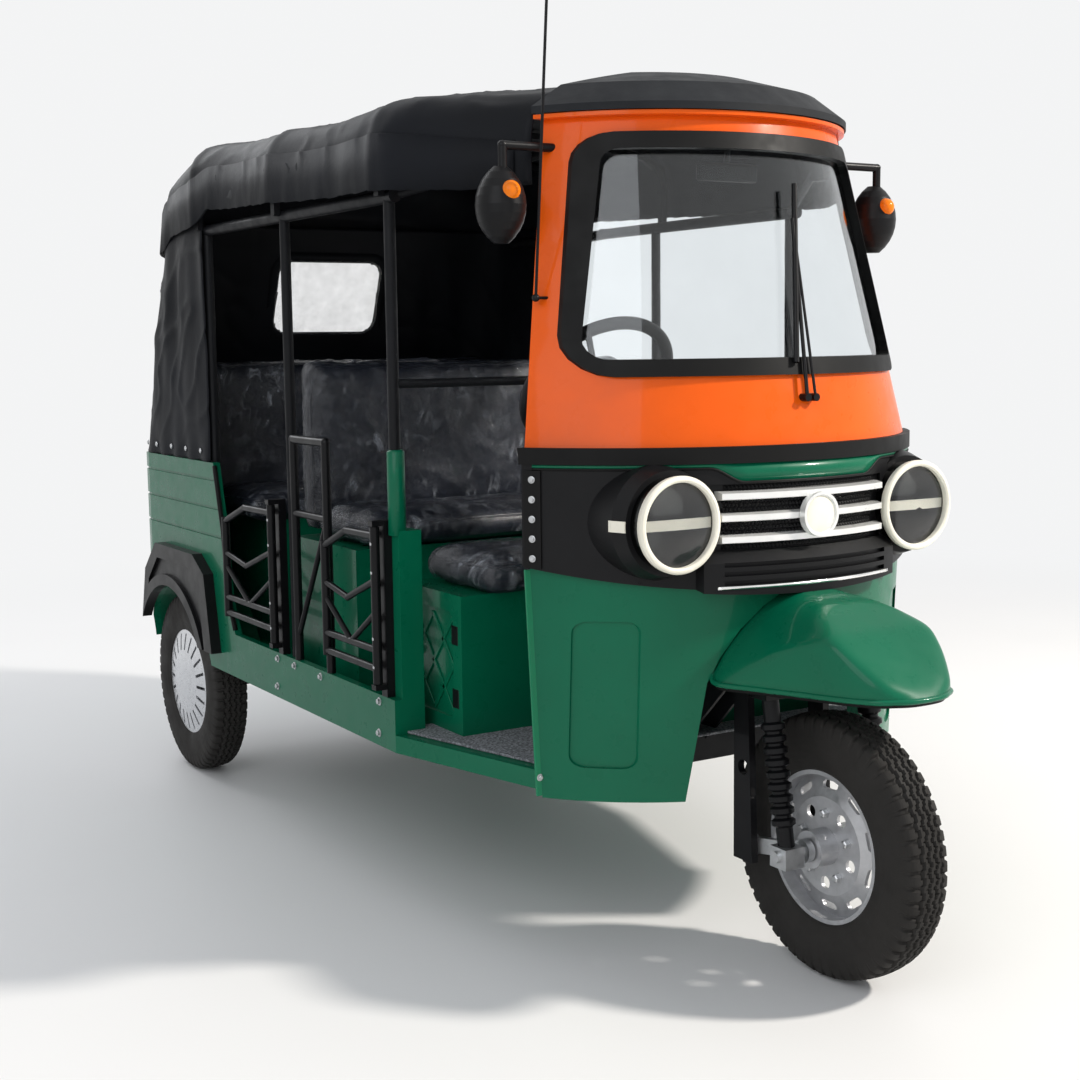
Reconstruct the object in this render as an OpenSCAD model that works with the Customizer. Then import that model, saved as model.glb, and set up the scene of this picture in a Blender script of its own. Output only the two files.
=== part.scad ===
// Three-wheeled auto rickshaw with a curved cab front, canvas top, three bench rows and tube side gates.
// Stations (y) run rearwards from the front axle, x to the vehicle's left, z up from the ground.

/* [Overall] */
// Distance between the front and rear axles
wheelbase = 2280; // [2200:1:2340]
// Half width of the body at the passenger sills
body_half_w = 590; // [570:1:620]
// Tail panel behind the rear axle
tail_over = 340; // [320:1:360]
// Height of the passenger sills
sill_h = 120; // [105:1:140]
// Quarter and tail panels above the floor
waist_h = 548; // [520:1:580]

/* [Wheels] */
// Outer radius of the tyres
tyre_r = 270; // [255:1:280]
// Width of the tyres
tyre_w = 105; // [90:1:115]
// Radius of the tyre seat on the rims
rim_r = 155; // [145:1:165]
// Rear tyres inside the body sides
rear_face_in = 18; // [10:1:30]
// Slots round the front rim
rim_slots = 10; // [6:1:12]
// Slots round the rear wheel covers
cover_slots = 20; // [12:1:24]

/* [Cab front] */
// Foremost point of the belt line behind the front axle
cab_front_y = 90; // [80:1:100]
// Radius of the cab front at the belt line
belt_r = 610; // [595:1:625]
// Belt line above the floor
belt_h = 650; // [630:1:670]
// Windscreen surround above the belt line
surround_h = 685; // [670:1:700]
// Radius that the cab front loses per height
cab_lean_share = 0.236; // [0.22:0.001:0.25]
// Wall of the moulded and pressed cab panels
wall = 20; // [16:1:24]
// Rearward lean of the door edges beside the windscreen
pillar_lean = 110; // [95:1:120]

/* [Lamps and grille] */
// Radius of the headlamp rims
lamp_r = 93; // [85:1:98]
// Headlamp centres below the belt line
lamp_drop = 131; // [125:1:140]
// Headlamp rims ahead of the moulded front
lamp_proud = 62; // [50:1:70]
// Spacing of the grille bars
bar_pitch = 43; // [38:1:46]
// Radius of the blank disc on the grille
badge_r = 45; // [35:1:50]

/* [Windscreen] */
// Lower edge of the gasket above the belt line
screen_rise = 152; // [140:1:165]
// Height of the gasket
screen_h = 486; // [470:1:495]
// Visible width of the gasket
gasket_w = 34; // [25:1:42]

/* [Steering] */
// Lean of the steering axis from upright, in degrees
rake_deg = 20; // [18:0.5:22]
// Distance of the steering axis ahead of the tyre contact
trail = 58; // [50:1:66]
// Radius of the steering wheel
wheel_r = 170; // [150:1:185]

/* [Mudguard] */
// Reach of the mudguard ahead of the front axle
guard_reach = 250; // [240:1:260]
// Half width of the mudguard where it leaves the apron
guard_half_w = 222; // [210:1:235]
// Height of the mudguard
guard_h = 180; // [165:1:184]

/* [Seats] */
// Top of the passenger cushions above the floor
seat_h = 460; // [440:1:480]
// Top of the driver cushion above the floor
driver_seat_h = 405; // [390:1:420]
// Thickness of the cushions
cushion_t = 85; // [70:1:95]
// Passenger backrests above the cushions
back_h = 385; // [350:1:400]
// Thickness of the backrests
back_t = 90; // [70:1:100]

/* [Top] */
// Crown of the canvas top above the floor
crown_h = 1470; // [1455:1:1490]
// Radius of the canvas shoulders
shoulder_r = 95; // [80:1:110]
// Radius of the roof posts
post_r = 13; // [11:1:14]

/* [Gates] */
// Height of the side gates
gate_h = 360; // [330:1:380]
// Radius of the gate stiles
gate_tube_r = 11; // [10:0.5:12]

/* [Hidden] */
$fn = 48;

// Facets round the turned cab front and the wheels
ring_fn = 96;
// Sunk fit of pieces of one solid
seat = 0.2;
// Radial clearance of turning pins
run_gap = 0.05;
// Gap of a pad laid against a tube
rest_gap = 0.3;
// Overrun of cuts, and a length past every piece
past = 60;
far = 6000;
// Ball at a tube bend, against the tube radius
knuckle_share = 1.05;

// Ladder frame on the rear springs
beam_r = 32;
leaf_t = 8;
leaf_n = 3;
leaf_step = 70;
spring_w = 50;
spring_half = 280;
hanger_h = 9;
hanger_half = 16;
rail_w = 50;
rail_h = 60;
rail_in = 290;
rail_x = body_half_w - rail_in;
rail_low_z = tyre_r + beam_r + leaf_t * leaf_n + hanger_h;
rail_top_z = rail_low_z + rail_h;
cross_shares = [0, 0.2, 0.49, 0.68, 1];
neck_gap = 8;
neck_t = 8;

// Floor
floor_t = 15;
floor_z = rail_top_z + floor_t;
firewall_t = 12;
firewall_in = 60;
firewall_drop = 50;
house_t = 6;
house_in = 28;

// Whole body
tail_y = wheelbase + tail_over;
front_axle_y = (tyre_r - tail_y) / 2;
sill_t = 20;
sill_drop = 40;
sill_bottom_z = floor_z - sill_drop;
sill_top_z = sill_bottom_z + sill_h;
waist_z = floor_z + waist_h;
rear_face_x = body_half_w - rear_face_in;
rail_end_in = 45;
rail_rear_y = tail_y - rail_end_in;

// Cab front rings
cab_axis_y = cab_front_y + belt_r;
belt_z = floor_z + belt_h;
surround_top_z = belt_z + surround_h;
pillar_deg = 56.2;
pillar_y = cab_axis_y - belt_r * cos(pillar_deg);
pillar_top_y = pillar_y + pillar_lean;
mask_out = 6;
mask_r = belt_r + mask_out;
mask_drop = 18;
mask_top_z = belt_z - mask_drop;
mask_h = 257;
mask_low_z = mask_top_z - mask_h;
mask_slope_share = 0.19;
trim_h = 33;
trim_out = 6;
trim_top_z = mask_top_z + trim_h;
apron_in = 4;
apron_taper = 23;
apron_top_r = belt_r - apron_in;
apron_low_r = apron_top_r - apron_taper;
apron_drop = 15;
apron_bottom_z = sill_bottom_z - apron_drop;
well_spread = 78;
well_half_low = guard_half_w + well_spread;
well_lip = 12;
well_depth = 60;
recess_d = 6;
recess_gap = 34;
recess_low = 70;
recess_top = 230;
recess_r = 24;
cab_floor_half_w = sqrt(pow(apron_low_r, 2) - pow(cab_axis_y - pillar_y, 2));
rail_set = 110;
rail_front_y = pillar_y + rail_set;
step_set = 100;
step_y = cab_axis_y + step_set;
bulkhead_w = 55;
bulkhead_t = 50;

// Quarter panels: edge points as shares of the lean and of the height above the sill
quarter_foot_in = 490;
quarter_lean = 128;
quarter_seam_in = 680;
quarter_end_in = 140;
quarter_foot_y = wheelbase - quarter_foot_in;
quarter_seam_y = wheelbase - quarter_seam_in;
quarter_end_y = tail_y - quarter_end_in;
quarter_edge_shares = [[0, 0], [0.39, 0.194], [0.6, 0.607], [1, 1]];
corner_r = 130;
groove_h = 8;
groove_d = 4;
groove_shares = [0.55, 0.72, 0.89];
tail_lamp_w = 90;
tail_lamp_t = 12;
tail_lamp_rise = 60;
tail_lamp_drop = 88;
tail_lamp_r = 18;

// Wheel arches, and flare outline as shares of its front reach and its height
arch_gap = 34;
arch_r = tyre_r + arch_gap;
flare_t = 30;
flare_front = 375;
flare_h = 270;
flare_base = 150;
flare_lip = 28;
flare_dish = 10;
flare_dish_share = 0.84;
flare_shares = [[-1, 0], [-0.88, 0.82], [-0.64, 1], [0.25, 1], [0.53, 0.67], [0.67, 0]];

// Windscreen
screen_deg = 51.2;
screen_low_z = belt_z + screen_rise;
screen_top_z = screen_low_z + screen_h;
screen_corner_r = 70;
gasket_proud = 9;
gasket_depth = 26;
glass_t = 6;
glass_set = 10;
wiper_rise = 91;
wiper_arm = 360;
wiper_lean = 30;
wiper_split = 22;
wiper_hub_r = 12;
wiper_arm_r = 4;
wiper_link_r = 3;
wiper_lift = 16;
blade_low = 70;
blade_len = 360;
blade_swing = 50;
blade_r = 6;

// Headlamps and grille
lamp_deg = 30.4;
lamp_x = mask_r * sin(lamp_deg);
lamp_z = belt_z - lamp_drop;
lamp_front_y = cab_axis_y - mask_r * cos(lamp_deg) - lamp_proud;
lamp_depth = 110;
lamp_wall = 8;
lens_t = 6;
lens_set = 5;
lens_bulge = 14;
pod_out = 22;
pod_set = 33;
projector_r = 32;
projector_len = 62;
projector_rise = 30;
pilot_r = 24;
pilot_len = 30;
pilot_drop = 42;
lamp_bar_h = 14;
lamp_bar_len = 50;
bar_deg = 20;
bar_h = 18;
bar_nose = 12;
bar_proud = 16;
bar_z = belt_z - lamp_drop + mask_out;
badge_proud = 16;
badge_rim = 6;
badge_step = 4;
grille_dish = 8;
grille_edge = 14;
chin_out = 24;
chin_h = 62;
chin_half_w = 250;
chin_groove = 9;
chin_grooves = 3;

// Front mudguard: points as shares of its reach, half width and height
guard_clear = 60;
guard_t = 6;
guard_low_z = tyre_r * 2 + guard_clear;
guard_crest_shares = [[0.76, 0], [0.76, 1], [0.24, 1], [-0.12, 0.93], [-0.48, 0.7], [-0.76, 0.39],
    [-0.96, 0.14], [-1, 0.07]];
guard_plan_shares = [[0, 0.76], [1, 0.76], [0.98, 0.32], [0.86, 0.16], [0.7, -0.24], [0.55, -0.68], [0.4,
    -0.9],
    [0.18, -0.99], [0, -1]];
guard_section_shares = [[0, 0], [0.964, 0], [0.856, 0.28], [0.676, 0.59], [0.45, 0.844], [0.225, 1], [0, 1]];

// Roof visor: profile as shares of its radius and its height
visor_over = 25;
visor_lip = 6;
visor_h = 107;
visor_r = belt_r - surround_h * cab_lean_share + visor_over;
visor_shares = [[1, -0.04], [1, 0.1], [0.87, 0.55], [0.6, 0.9], [0, 1]];
visor_inner_shares = [[0, 0.89], [0.58, 0.79], [0.83, 0.45]];
brow_t = 8;
brow_set = 4;

// Canvas top: stations as shares of its length, widths of the spread, hems of the rise, crown of the drop
top_over = 15;
top_half_w = body_half_w + top_over;
top_front_half_w = sqrt(pow(visor_r, 2) - pow(cab_axis_y - pillar_top_y, 2));
crown_z = floor_z + crown_h;
hem_drop = 280;
hem_rise = 55;
crown_drop = 190;
crown_rise = 42;
shoulder_degs = [0, 22.5, 45, 67.5];
top_t = 8;
top_station_shares = [0, 0.067, 0.151, 0.485, 0.715, 0.772, 0.886, 0.923, 0.948, 0.974, 1];
top_spread_shares = [0, 0.52, 1, 1, 1, 1, 1, 0.99, 0.943, 0.806, 0.555];
top_hem_shares = [0, 0.04, 0.18, 0.58, 0.94, 0.2, 0, -0.55, -0.73, -0.91, -1];
top_drop_shares = [0.221, 0.179, 0.147, 0.116, 0.026, 0, 0.2, 0.342, 0.474, 0.674, 1];
curtain_t = 6;
curtain_rise = 690;
curtain_lean = 250;
top_end_in = 220;
curtain_set = 30;
rear_win_half_w = 180;
rear_win_rise = 389;
rear_win_h = 245;
rear_win_r = 45;

// Roof posts, rails and hoops
top_rail_r = 15;
bow_t = 16;
bow_half = 11;
post_set = 20;
post_front_y = step_y + post_set;
post_mid_set = 47;
post_back_in = 320;
post_back_y = wheelbase - post_back_in;
rail_z = floor_z + crown_h - hem_drop;
curtain_deg = atan(curtain_lean / (rail_z - waist_z));
curtain_front_y = quarter_foot_y + quarter_lean + curtain_set;
top_end_y = tail_y - top_end_in;
bow_half_w = top_half_at(post_front_y - bow_half) - top_t;
post_x = bow_half_w - bow_t - top_rail_r;
rail_ahead = 30;
rail_short = 400;
header_r = 10;
header_drop = 45;
header_h = 60;
header_t = 24;
header_set = 30;
header_in = 50;
header_x = top_front_half_w - header_in;
header_z = surround_top_z - header_drop - header_h;
header_y = pillar_top_y + header_set;

// Seats
seat_gap = 80;
seat_half_w = body_half_w - seat_gap;
driver_gap = 135;
driver_half_w = body_half_w - driver_gap;
driver_box_gap = 110;
driver_box_half_w = body_half_w - driver_box_gap;
seat_z = floor_z + seat_h;
driver_seat_z = floor_z + driver_seat_h;
back_top_z = seat_z + back_h;
driver_set = 75;
driver_depth = 335;
mid_depth = 350;
rear_depth = 390;
rear_back_in = 30;
leg_room_share = 0.304;
driver_y0 = cab_axis_y - driver_set;
driver_y1 = driver_y0 + driver_depth;
rear_y1 = wheelbase - rear_back_in;
rear_y0 = rear_y1 - rear_depth;
leg_room = rear_y0 - driver_y1 - mid_depth - back_t;
mid_y0 = driver_y1 + leg_room * leg_room_share;
mid_y1 = mid_y0 + mid_depth;
box_inset = 60;
rear_box_gap = 120;
cushion_r = 28;
pad_round_share = 0.4;
door_in = 40;
door_d = 6;
rib_w = 16;
rib_d = 6;
rib_n = 9;
driver_pad_half_w = 200;
driver_pad_t = 55;
driver_pad_h = 230;
driver_rail_rise = 380;
driver_rail_r = 10;
driver_pad_drop = 190;
driver_rail_z = driver_seat_z + driver_rail_rise;

// Steering wheel on the right-hand side
wheel_x = -200;
wheel_reach = 330;
wheel_rise = 130;
wheel_y = cab_axis_y - (belt_r - wheel_reach) / 2;
wheel_z = belt_z + wheel_rise;
wheel_tilt = 50;
wheel_grip_r = 14;
wheel_spoke_r = 7;
wheel_spokes = 3;
column_r = 12;
column_len = 260;
sleeve_r = 22;
sleeve_len = 130;
dash_h = 60;

// Front fork
stem_r = 20;
head_r = 34;
crown_clear = 35;
crown_t = 34;
head_gap = 56;
head_len = 265;
stem_over = 60;
fork_crown_z = tyre_r * 2 + crown_clear;
head_low_z = fork_crown_z + crown_t + head_gap;
head_top_z = head_low_z + head_len;
leg_gap = 39.5;
leg_t = 16;
leg_half = 30;
leg_hole_r = 16;
leg_x = tyre_w / 2 + leg_gap;
link_back = 165;
link_drop = 30;
link_eye_r = 24;
link_web_half = 16;
axle_r = 12;
axle_nut = 10;
hub_half = 72;
hub_r = 38;
shock_set = 36;
shock_x = leg_x + shock_set;
shock_r = 24;
shock_core_r = 17;
shock_top_y = 62;
shock_coils = 9;
shock_coil_shares = [0.16, 0.78];
coil_edge_shares = [0.2, 0.6, 0.8];
block_half = 24;
block_h = 18;

// Wheels
bead_in = 20;
bead_half = tyre_w / 2 - bead_in;
flange_h = 12;
flange_t = 8;
disc_t = 8;
dish_d = 20;
dish_r = 100;
slot_at_r = 124;
slot_r = 8;
slot_half = 14;
hole_at_r = 76;
hole_r = 13;
hole_n = 5;
tyre_shoulder = 24;
tyre_wall_share = 0.42;
groove_w = 7;
tyre_groove_d = 6;
groove_x_share = 0.2;
rear_hub_half = 30;
rear_disc = 10;
cover_rise = 18;
cover_t = 4;
cover_slot_w = 9;
cover_slot_shares = [0.58, 0.88];
dome_shares = [0.9, 0.75, 0.6, 0.45, 0.3, 0.15, 0];
stub_r = 20;
drive_len = 260;
drive_r = 105;
drum_r = 100;
drum_w = 42;
drum_gap = 20;

// Gates and the fixed guard between them
side_len = quarter_foot_y - step_y;
hinge_out = 16;
hinge_x = body_half_w + hinge_out;
hinge_set = 50;
hinge_back = 100;
guard_post_shares = [0.369, 0.566];
guard_y0 = step_y + side_len * guard_post_shares[0];
guard_y1 = step_y + side_len * guard_post_shares[1];
gate_end_gap = 40;
front_hinge_y = step_y + hinge_set;
rear_hinge_y = guard_y1 + hinge_back;
post_mid_y = guard_y1 + post_mid_set;
hinge_post_half = 14;
gate_rise = 30;
gate_low_z = sill_top_z + gate_rise;
gate_top_z = gate_low_z + gate_h;
gate_pin_r = 6;
lug_t = 12;
gate_gap = 2;
guard_rise = 560;
guard_bar_rise = 375;
guard_foot = 60;
guard_tube_r = 11;
guard_bar_r = 9;
guard_brace_r = 7;
gate_rail_r = 9;
gate_mid_rail_r = 8;
gate_brace_r = 7;
rail_up_share = 0.1;
rail_two_share = 0.22;
top_bend_share = 0.55;
top_end_share = 0.8;
mid_rail_shares = [0.66, 0.5, 0.56];
brace_share = 0.46;

// Mirrors and antenna
mirror_in = 110;
mirror_x = belt_r - mirror_in;
mirror_set = 20;
mirror_y = pillar_top_y - mirror_set;
mirror_rise = 495;
mirror_z = belt_z + mirror_rise;
mirror_half_h = 85;
mirror_half_w = 52;
mirror_back = 22;
mirror_steps = 6;
mirror_arm_rise = 117;
mirror_arm_set = 32;
mirror_arm_in = 120;
mirror_arm_r = 9;
indicator_r = 20;
indicator_out = 40;
indicator_rise = 26;
antenna_r = 3;
antenna_knob_r = 8;
antenna_out = 25;
antenna_set = 25;
antenna_rise = 310;
antenna_len = 640;
antenna_lean = 60;

function cab_r(z) = belt_r - (z - belt_z) * cab_lean_share;
function ring_y(r, x) = cab_axis_y - sqrt(pow(r, 2) - pow(x, 2));
function ring_x(r, y) = sqrt(pow(r, 2) - pow(cab_axis_y - y, 2));
function steer_y(z) = z * tan(rake_deg) - trail;
function pillar_at(z) = pillar_y + (z - belt_z) * pillar_lean / surround_h;
function scaled(p, w, h) = [for (s = p) [s[0] * w, s[1] * h]];
function moved(p, d) = [for (s = p) s + d];
function unit(v) = v / norm(v);
function turn(d) = d > 180 ? d - 360 : d < -180 ? d + 360 : d;
function corner(a, b, c, r, n) =
    let (u = unit(a - b), v = unit(c - b), half = acos(u * v) / 2,
        m = b + unit(u + v) * r / sin(half),
        s = b + u * r / tan(half) - m, e = b + v * r / tan(half) - m,
        a0 = atan2(s[1], s[0]), sweep = turn(atan2(e[1], e[0]) - a0))
    [for (i = [0:n]) m + r * [cos(a0 + sweep * i / n), sin(a0 + sweep * i / n)]];
function rounded(p, r, n = 5) =
    [for (i = [0:len(p) - 1]) each corner(p[(i + len(p) - 1) % len(p)], p[i], p[(i + 1) % len(p)], r, n)];
function oblong(a0, a1, b0, b1, r) = rounded([[a0, b0], [a1, b0], [a1, b1], [a0, b1]], r);
function flipped(p) = [for (i = [len(p) - 1:-1:0]) [-p[i][0], p[i][1]]];
function reversed(p) = [for (i = [len(p) - 1:-1:0]) p[i]];

module at_axle() translate([0, front_axle_y, 0]) children();

module pair() {
    children();
    mirror([1, 0, 0]) children();
}

// Outline in y and z, drawn out along x
module side_plate(pts, x0, x1)
    translate([x0, 0, 0]) rotate([90, 0, 90]) linear_extrude(height = x1 - x0) polygon(pts);

// Outline in x and z, drawn out along y
module face_plate(pts, y0, y1)
    translate([0, y1, 0]) rotate([90, 0, 0]) linear_extrude(height = y1 - y0) polygon(pts);

module plan_plate(pts, z0, z1)
    translate([0, 0, z0]) linear_extrude(height = z1 - z0) polygon(pts);

module box(x0, x1, y0, y1, z0, z1)
    translate([x0, y0, z0]) cube([x1 - x0, y1 - y0, z1 - z0]);

// Puts a piece that stands on z = 0 along the line from a to b
module along(a, b) {
    v = b - a;
    translate(a) rotate([0, acos(v[2] / norm(v)), atan2(v[1], v[0])]) children();
}

module rod(a, b, r) along(a, b) cylinder(r = r, h = norm(b - a));

// Tube through the points, with a slightly larger ball at each bend
module bent_rod(pts, r) {
    for (i = [0:len(pts) - 2]) rod(pts[i], pts[i + 1], r);
    for (i = [1:len(pts) - 2]) along(pts[i], pts[i + 1]) sphere(r = r * knuckle_share);
}

module cross_cyl(x0, x1, r) translate([x0, 0, 0]) rotate([0, 90, 0]) cylinder(r = r, h = x1 - x0);

// Profile of radius and height, turned about the cab axis
module turned(pts) translate([0, cab_axis_y, 0]) rotate_extrude($fn = ring_fn) polygon(pts);

module ring(r0, r1, z0, z1) turned([[r0, z0], [r1, z0], [r1, z1], [r0, z1]]);

module cone_shell(z0, z1, out, inn)
    turned([[cab_r(z0) - inn, z0], [cab_r(z0) + out, z0], [cab_r(z1) + out, z1], [cab_r(z1) - inn, z1]]);

// Solid inside the outer face of the upper cab
module cab_core() turned([[0, mask_top_z], [cab_r(mask_top_z), mask_top_z],
    [cab_r(surround_top_z), surround_top_z], [0, surround_top_z]]);

// Part of the cab front ahead of the leaning door edge
module cab_sector() side_plate([[-far, 0], [pillar_y, 0], [pillar_y, belt_z], [pillar_top_y, surround_top_z],
    [pillar_top_y, far], [-far, far]], -far, far);

// Everything below the lower edge of the mask
module below_mask() side_plate([[-far, mask_low_z - (far + cab_front_y) * mask_slope_share],
    [far, mask_low_z + (far - cab_front_y) * mask_slope_share], [far, -far], [-far, -far]], -far, far);

module chassis_frame() color("dimgray") at_axle() difference() {
    union() {
        pair() {
            box(rail_x - rail_w / 2, rail_x + rail_w / 2, rail_front_y, rail_rear_y, rail_low_z, rail_top_z);
            for (s = [-spring_half, spring_half])
                box(rail_x - spring_w / 2, rail_x + spring_w / 2, wheelbase + s - hanger_half,
                    wheelbase + s + hanger_half, rail_low_z - hanger_h, rail_low_z + seat);
            neck_plate();
        }
        for (s = cross_shares) {
            y = rail_front_y + s * (rail_rear_y - rail_w - rail_front_y);
            box(-rail_x, rail_x, y, y + rail_w, rail_low_z, rail_top_z);
        }
        rod([0, steer_y(head_low_z), head_low_z], [0, steer_y(head_top_z), head_top_z], head_r);
    }
    rod([0, steer_y(0), 0], [0, steer_y(far), far], stem_r + run_gap);
}

// Plate from the first cross member up to the steering head
module neck_plate() side_plate([[rail_front_y + rail_w, rail_low_z], [rail_front_y + rail_w, rail_top_z],
    [steer_y(head_low_z) + head_r, head_top_z], [steer_y(head_low_z), head_low_z]],
    stem_r + neck_gap, stem_r + neck_gap + neck_t);

module floor_pan() color("darkgreen") at_axle() {
    half = [[0, rail_front_y], [well_half_low + well_lip, rail_front_y], [well_half_low + well_lip, pillar_y],
        [cab_floor_half_w - sill_t, pillar_y], [body_half_w - sill_t, step_y],
        [body_half_w - sill_t, quarter_end_y], [0, quarter_end_y]];
    wheel_in = rear_face_x - tyre_w - house_in;
    difference() {
        union() {
            plan_plate(concat(half, flipped(half)), rail_top_z, floor_z);
            box(firewall_in - cab_floor_half_w, cab_floor_half_w - firewall_in, rail_front_y,
                rail_front_y + firewall_t, rail_top_z, belt_z - firewall_drop);
            pair() intersection() {
                translate([0, wheelbase, tyre_r]) cross_cyl(wheel_in - house_t, body_half_w - sill_t,
                    arch_r + house_t);
                translate([0, 0, rail_top_z]) linear_extrude(height = far) tub_outline(sill_t);
            }
        }
        box(-head_r - neck_t, head_r + neck_t, 0, rail_front_y + rail_w * 2, 0, head_top_z);
        pair() translate([0, wheelbase, tyre_r]) cross_cyl(wheel_in, far, arch_r);
    }
}

module sill_panels() color("green") at_axle() pair() {
    box(body_half_w - sill_t, body_half_w, step_y, quarter_seam_y, sill_bottom_z, sill_top_z);
    plan_plate([[cab_floor_half_w - sill_t, pillar_y], [cab_floor_half_w, pillar_y], [body_half_w, step_y],
        [body_half_w - sill_t, step_y]], sill_bottom_z, floor_z);
}

module side_bulkheads() color("green") at_axle() pair()
    box(body_half_w - sill_t - bulkhead_w, body_half_w - sill_t, step_y, step_y + bulkhead_t, floor_z,
        seat_z);

// Height of a pressed groove in the rear panels
function groove_z(share) = sill_top_z + (waist_z - sill_top_z) * share;

module quarter_panels() color("green") at_axle() pair() difference() {
    edge = moved(scaled(quarter_edge_shares, quarter_lean, waist_z - sill_top_z), [quarter_foot_y,
        sill_top_z]);
    side_plate(concat([[quarter_seam_y, sill_bottom_z], [quarter_seam_y, sill_top_z]], edge,
        [[quarter_end_y, waist_z], [quarter_end_y, sill_bottom_z]]), body_half_w - sill_t, body_half_w);
    translate([0, wheelbase, tyre_r]) cross_cyl(0, far, arch_r);
    for (s = groove_shares)
        box(body_half_w - groove_d, far, 0, far, groove_z(s), groove_z(s) + groove_h);
}

module tub_outline(inset) polygon(rounded([[inset - body_half_w, step_y], [body_half_w - inset, step_y],
    [body_half_w - inset, tail_y - inset], [inset - body_half_w, tail_y - inset]], corner_r - inset));

// Wall round the tail behind station y0, from depth d0 to d1 under the outer face
module tub_wall(y0, z0, z1, d0, d1) translate([0, 0, z0]) linear_extrude(height = z1 - z0) difference() {
    tub_outline(d0);
    tub_outline(d1);
    translate([-far, -far]) square([far * 2, far + y0]);
}

module tail_panel() color("green") at_axle() difference() {
    tub_wall(quarter_end_y, sill_bottom_z, waist_z, 0, sill_t);
    for (s = groove_shares) tub_wall(quarter_end_y, groove_z(s), groove_z(s) + groove_h, 0, groove_d);
    pair() translate([0, wheelbase, tyre_r]) cross_cyl(0, far, arch_r);
    pair() tail_lamp();
}

module tail_lamp() face_plate(oblong(body_half_w - corner_r - tail_lamp_w, body_half_w - corner_r,
    sill_top_z + tail_lamp_rise, waist_z - tail_lamp_drop, tail_lamp_r), tail_y - tail_lamp_t, tail_y);

module tail_lamps() color("red") at_axle() pair() tail_lamp();

// Dished moulding with a raised edge and a raised lip round the wheel
module wheel_flares() color("black") at_axle() pair() {
    foot = [wheelbase, tyre_r + flare_base];
    outline = moved(scaled(flare_shares, flare_front, flare_h), foot);
    dish = moved(scaled(flare_shares, flare_front * flare_dish_share, flare_h * flare_dish_share), foot);
    difference() {
        side_plate(outline, body_half_w, body_half_w + flare_t);
        difference() {
            side_plate(dish, body_half_w + flare_t - flare_dish, far);
            translate([0, wheelbase, tyre_r]) cross_cyl(0, far, arch_r + flare_lip);
        }
        translate([0, wheelbase, tyre_r]) cross_cyl(0, far, arch_r - flare_dish / 2);
    }
}

function guard_section(out) =
    [for (s = guard_section_shares) [s[0] * guard_half_w + (s[0] > 0 ? out : 0),
        guard_low_z + s[1] * guard_h + out]];

// Opening of the apron round the wheel, under the mudguard's outline
module well(out) {
    sect = guard_section(out);
    half = concat([[0, 0], [well_half_low + out, 0]], [for (i = [1:len(sect) - 1]) sect[i]]);
    face_plate(concat(half, flipped(half)), -far, cab_axis_y);
}

module apron_skin(d0, d1) turned([[apron_low_r - d1, apron_bottom_z], [apron_low_r - d0, apron_bottom_z],
    [apron_top_r - d0, waist_z], [apron_top_r - d1, waist_z]]);

module apron() color("green") at_axle() difference() {
    intersection() {
        union() {
            apron_skin(0, wall);
            intersection() {
                apron_skin(wall / 2, well_depth);
                well(well_lip);
            }
        }
        cab_sector();
        below_mask();
    }
    well(0);
    pair() intersection() {
        apron_skin(-wall, recess_d);
        face_plate(oblong(well_half_low + recess_gap, cab_floor_half_w - recess_gap,
            apron_bottom_z + recess_low, waist_z - recess_top, recess_r), -far, cab_axis_y);
    }
}

// Points a tool along a lamp, from its front
module at_lamp() translate([lamp_x, lamp_front_y, lamp_z]) rotate([-90, 0, 0]) children();

module front_mask() color("black") at_axle() difference() {
    intersection() {
        union() {
            ring(mask_r - wall, mask_r, 0, mask_top_z);
            pair() at_lamp() translate([0, 0, pod_set]) cylinder(r1 = lamp_r + pod_out / 2,
                r2 = lamp_r + pod_out, h = pod_set);
            pair() at_lamp() translate([0, 0, pod_set * 2]) cylinder(r = lamp_r + pod_out, h = lamp_depth);
            intersection() {
                turned([[mask_r - wall, 0], [mask_r + chin_out, 0], [mask_r + chin_out, mask_low_z + chin_h],
                    [mask_r, mask_low_z + chin_h + chin_out], [mask_r - wall,
                        mask_low_z + chin_h + chin_out]]);
                box(-chin_half_w, chin_half_w, -far, cab_axis_y, 0, far);
            }
        }
        cab_sector();
        box(-far, far, -far, far, 0, mask_top_z);
    }
    below_mask();
    pair() at_lamp() cylinder(r = lamp_r, h = far);
    ring(0, mask_r - wall, 0, mask_top_z);
    intersection() {
        ring(mask_r - grille_dish, far, bar_z - bar_pitch - bar_h / 2 - grille_edge,
            bar_z + bar_pitch + bar_h / 2 + grille_edge);
        grille_span(grille_edge);
    }
    for (i = [1:chin_grooves]) intersection() {
        z = mask_low_z + chin_groove * i * 2;
        ring(mask_r + chin_out - chin_groove, far, z, z + chin_groove);
        grille_span(0);
    }
}

// Width of the grille, widened at each end
module grille_span(out) {
    half = mask_r * sin(bar_deg) + out;
    box(-half, half, -far, cab_axis_y / 2, 0, far);
}

module grille() color("silver") at_axle() {
    intersection() {
        for (i = [-1:1]) {
            z = bar_z + i * bar_pitch;
            turned([[mask_r - grille_dish, z - bar_h / 2], [mask_r, z - bar_h / 2],
                [mask_r + bar_proud, z - bar_nose / 2], [mask_r + bar_proud, z + bar_nose / 2],
                [mask_r, z + bar_h / 2], [mask_r - grille_dish, z + bar_h / 2]]);
        }
        grille_span(0);
    }
    translate([0, cab_axis_y - mask_r - bar_proud + seat, bar_z]) rotate([90, 0, 0]) difference() {
        cylinder(r = badge_r, h = badge_proud);
        translate([0, 0, badge_proud - badge_step]) cylinder(r = badge_r - badge_rim, h = past);
    }
}

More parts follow.
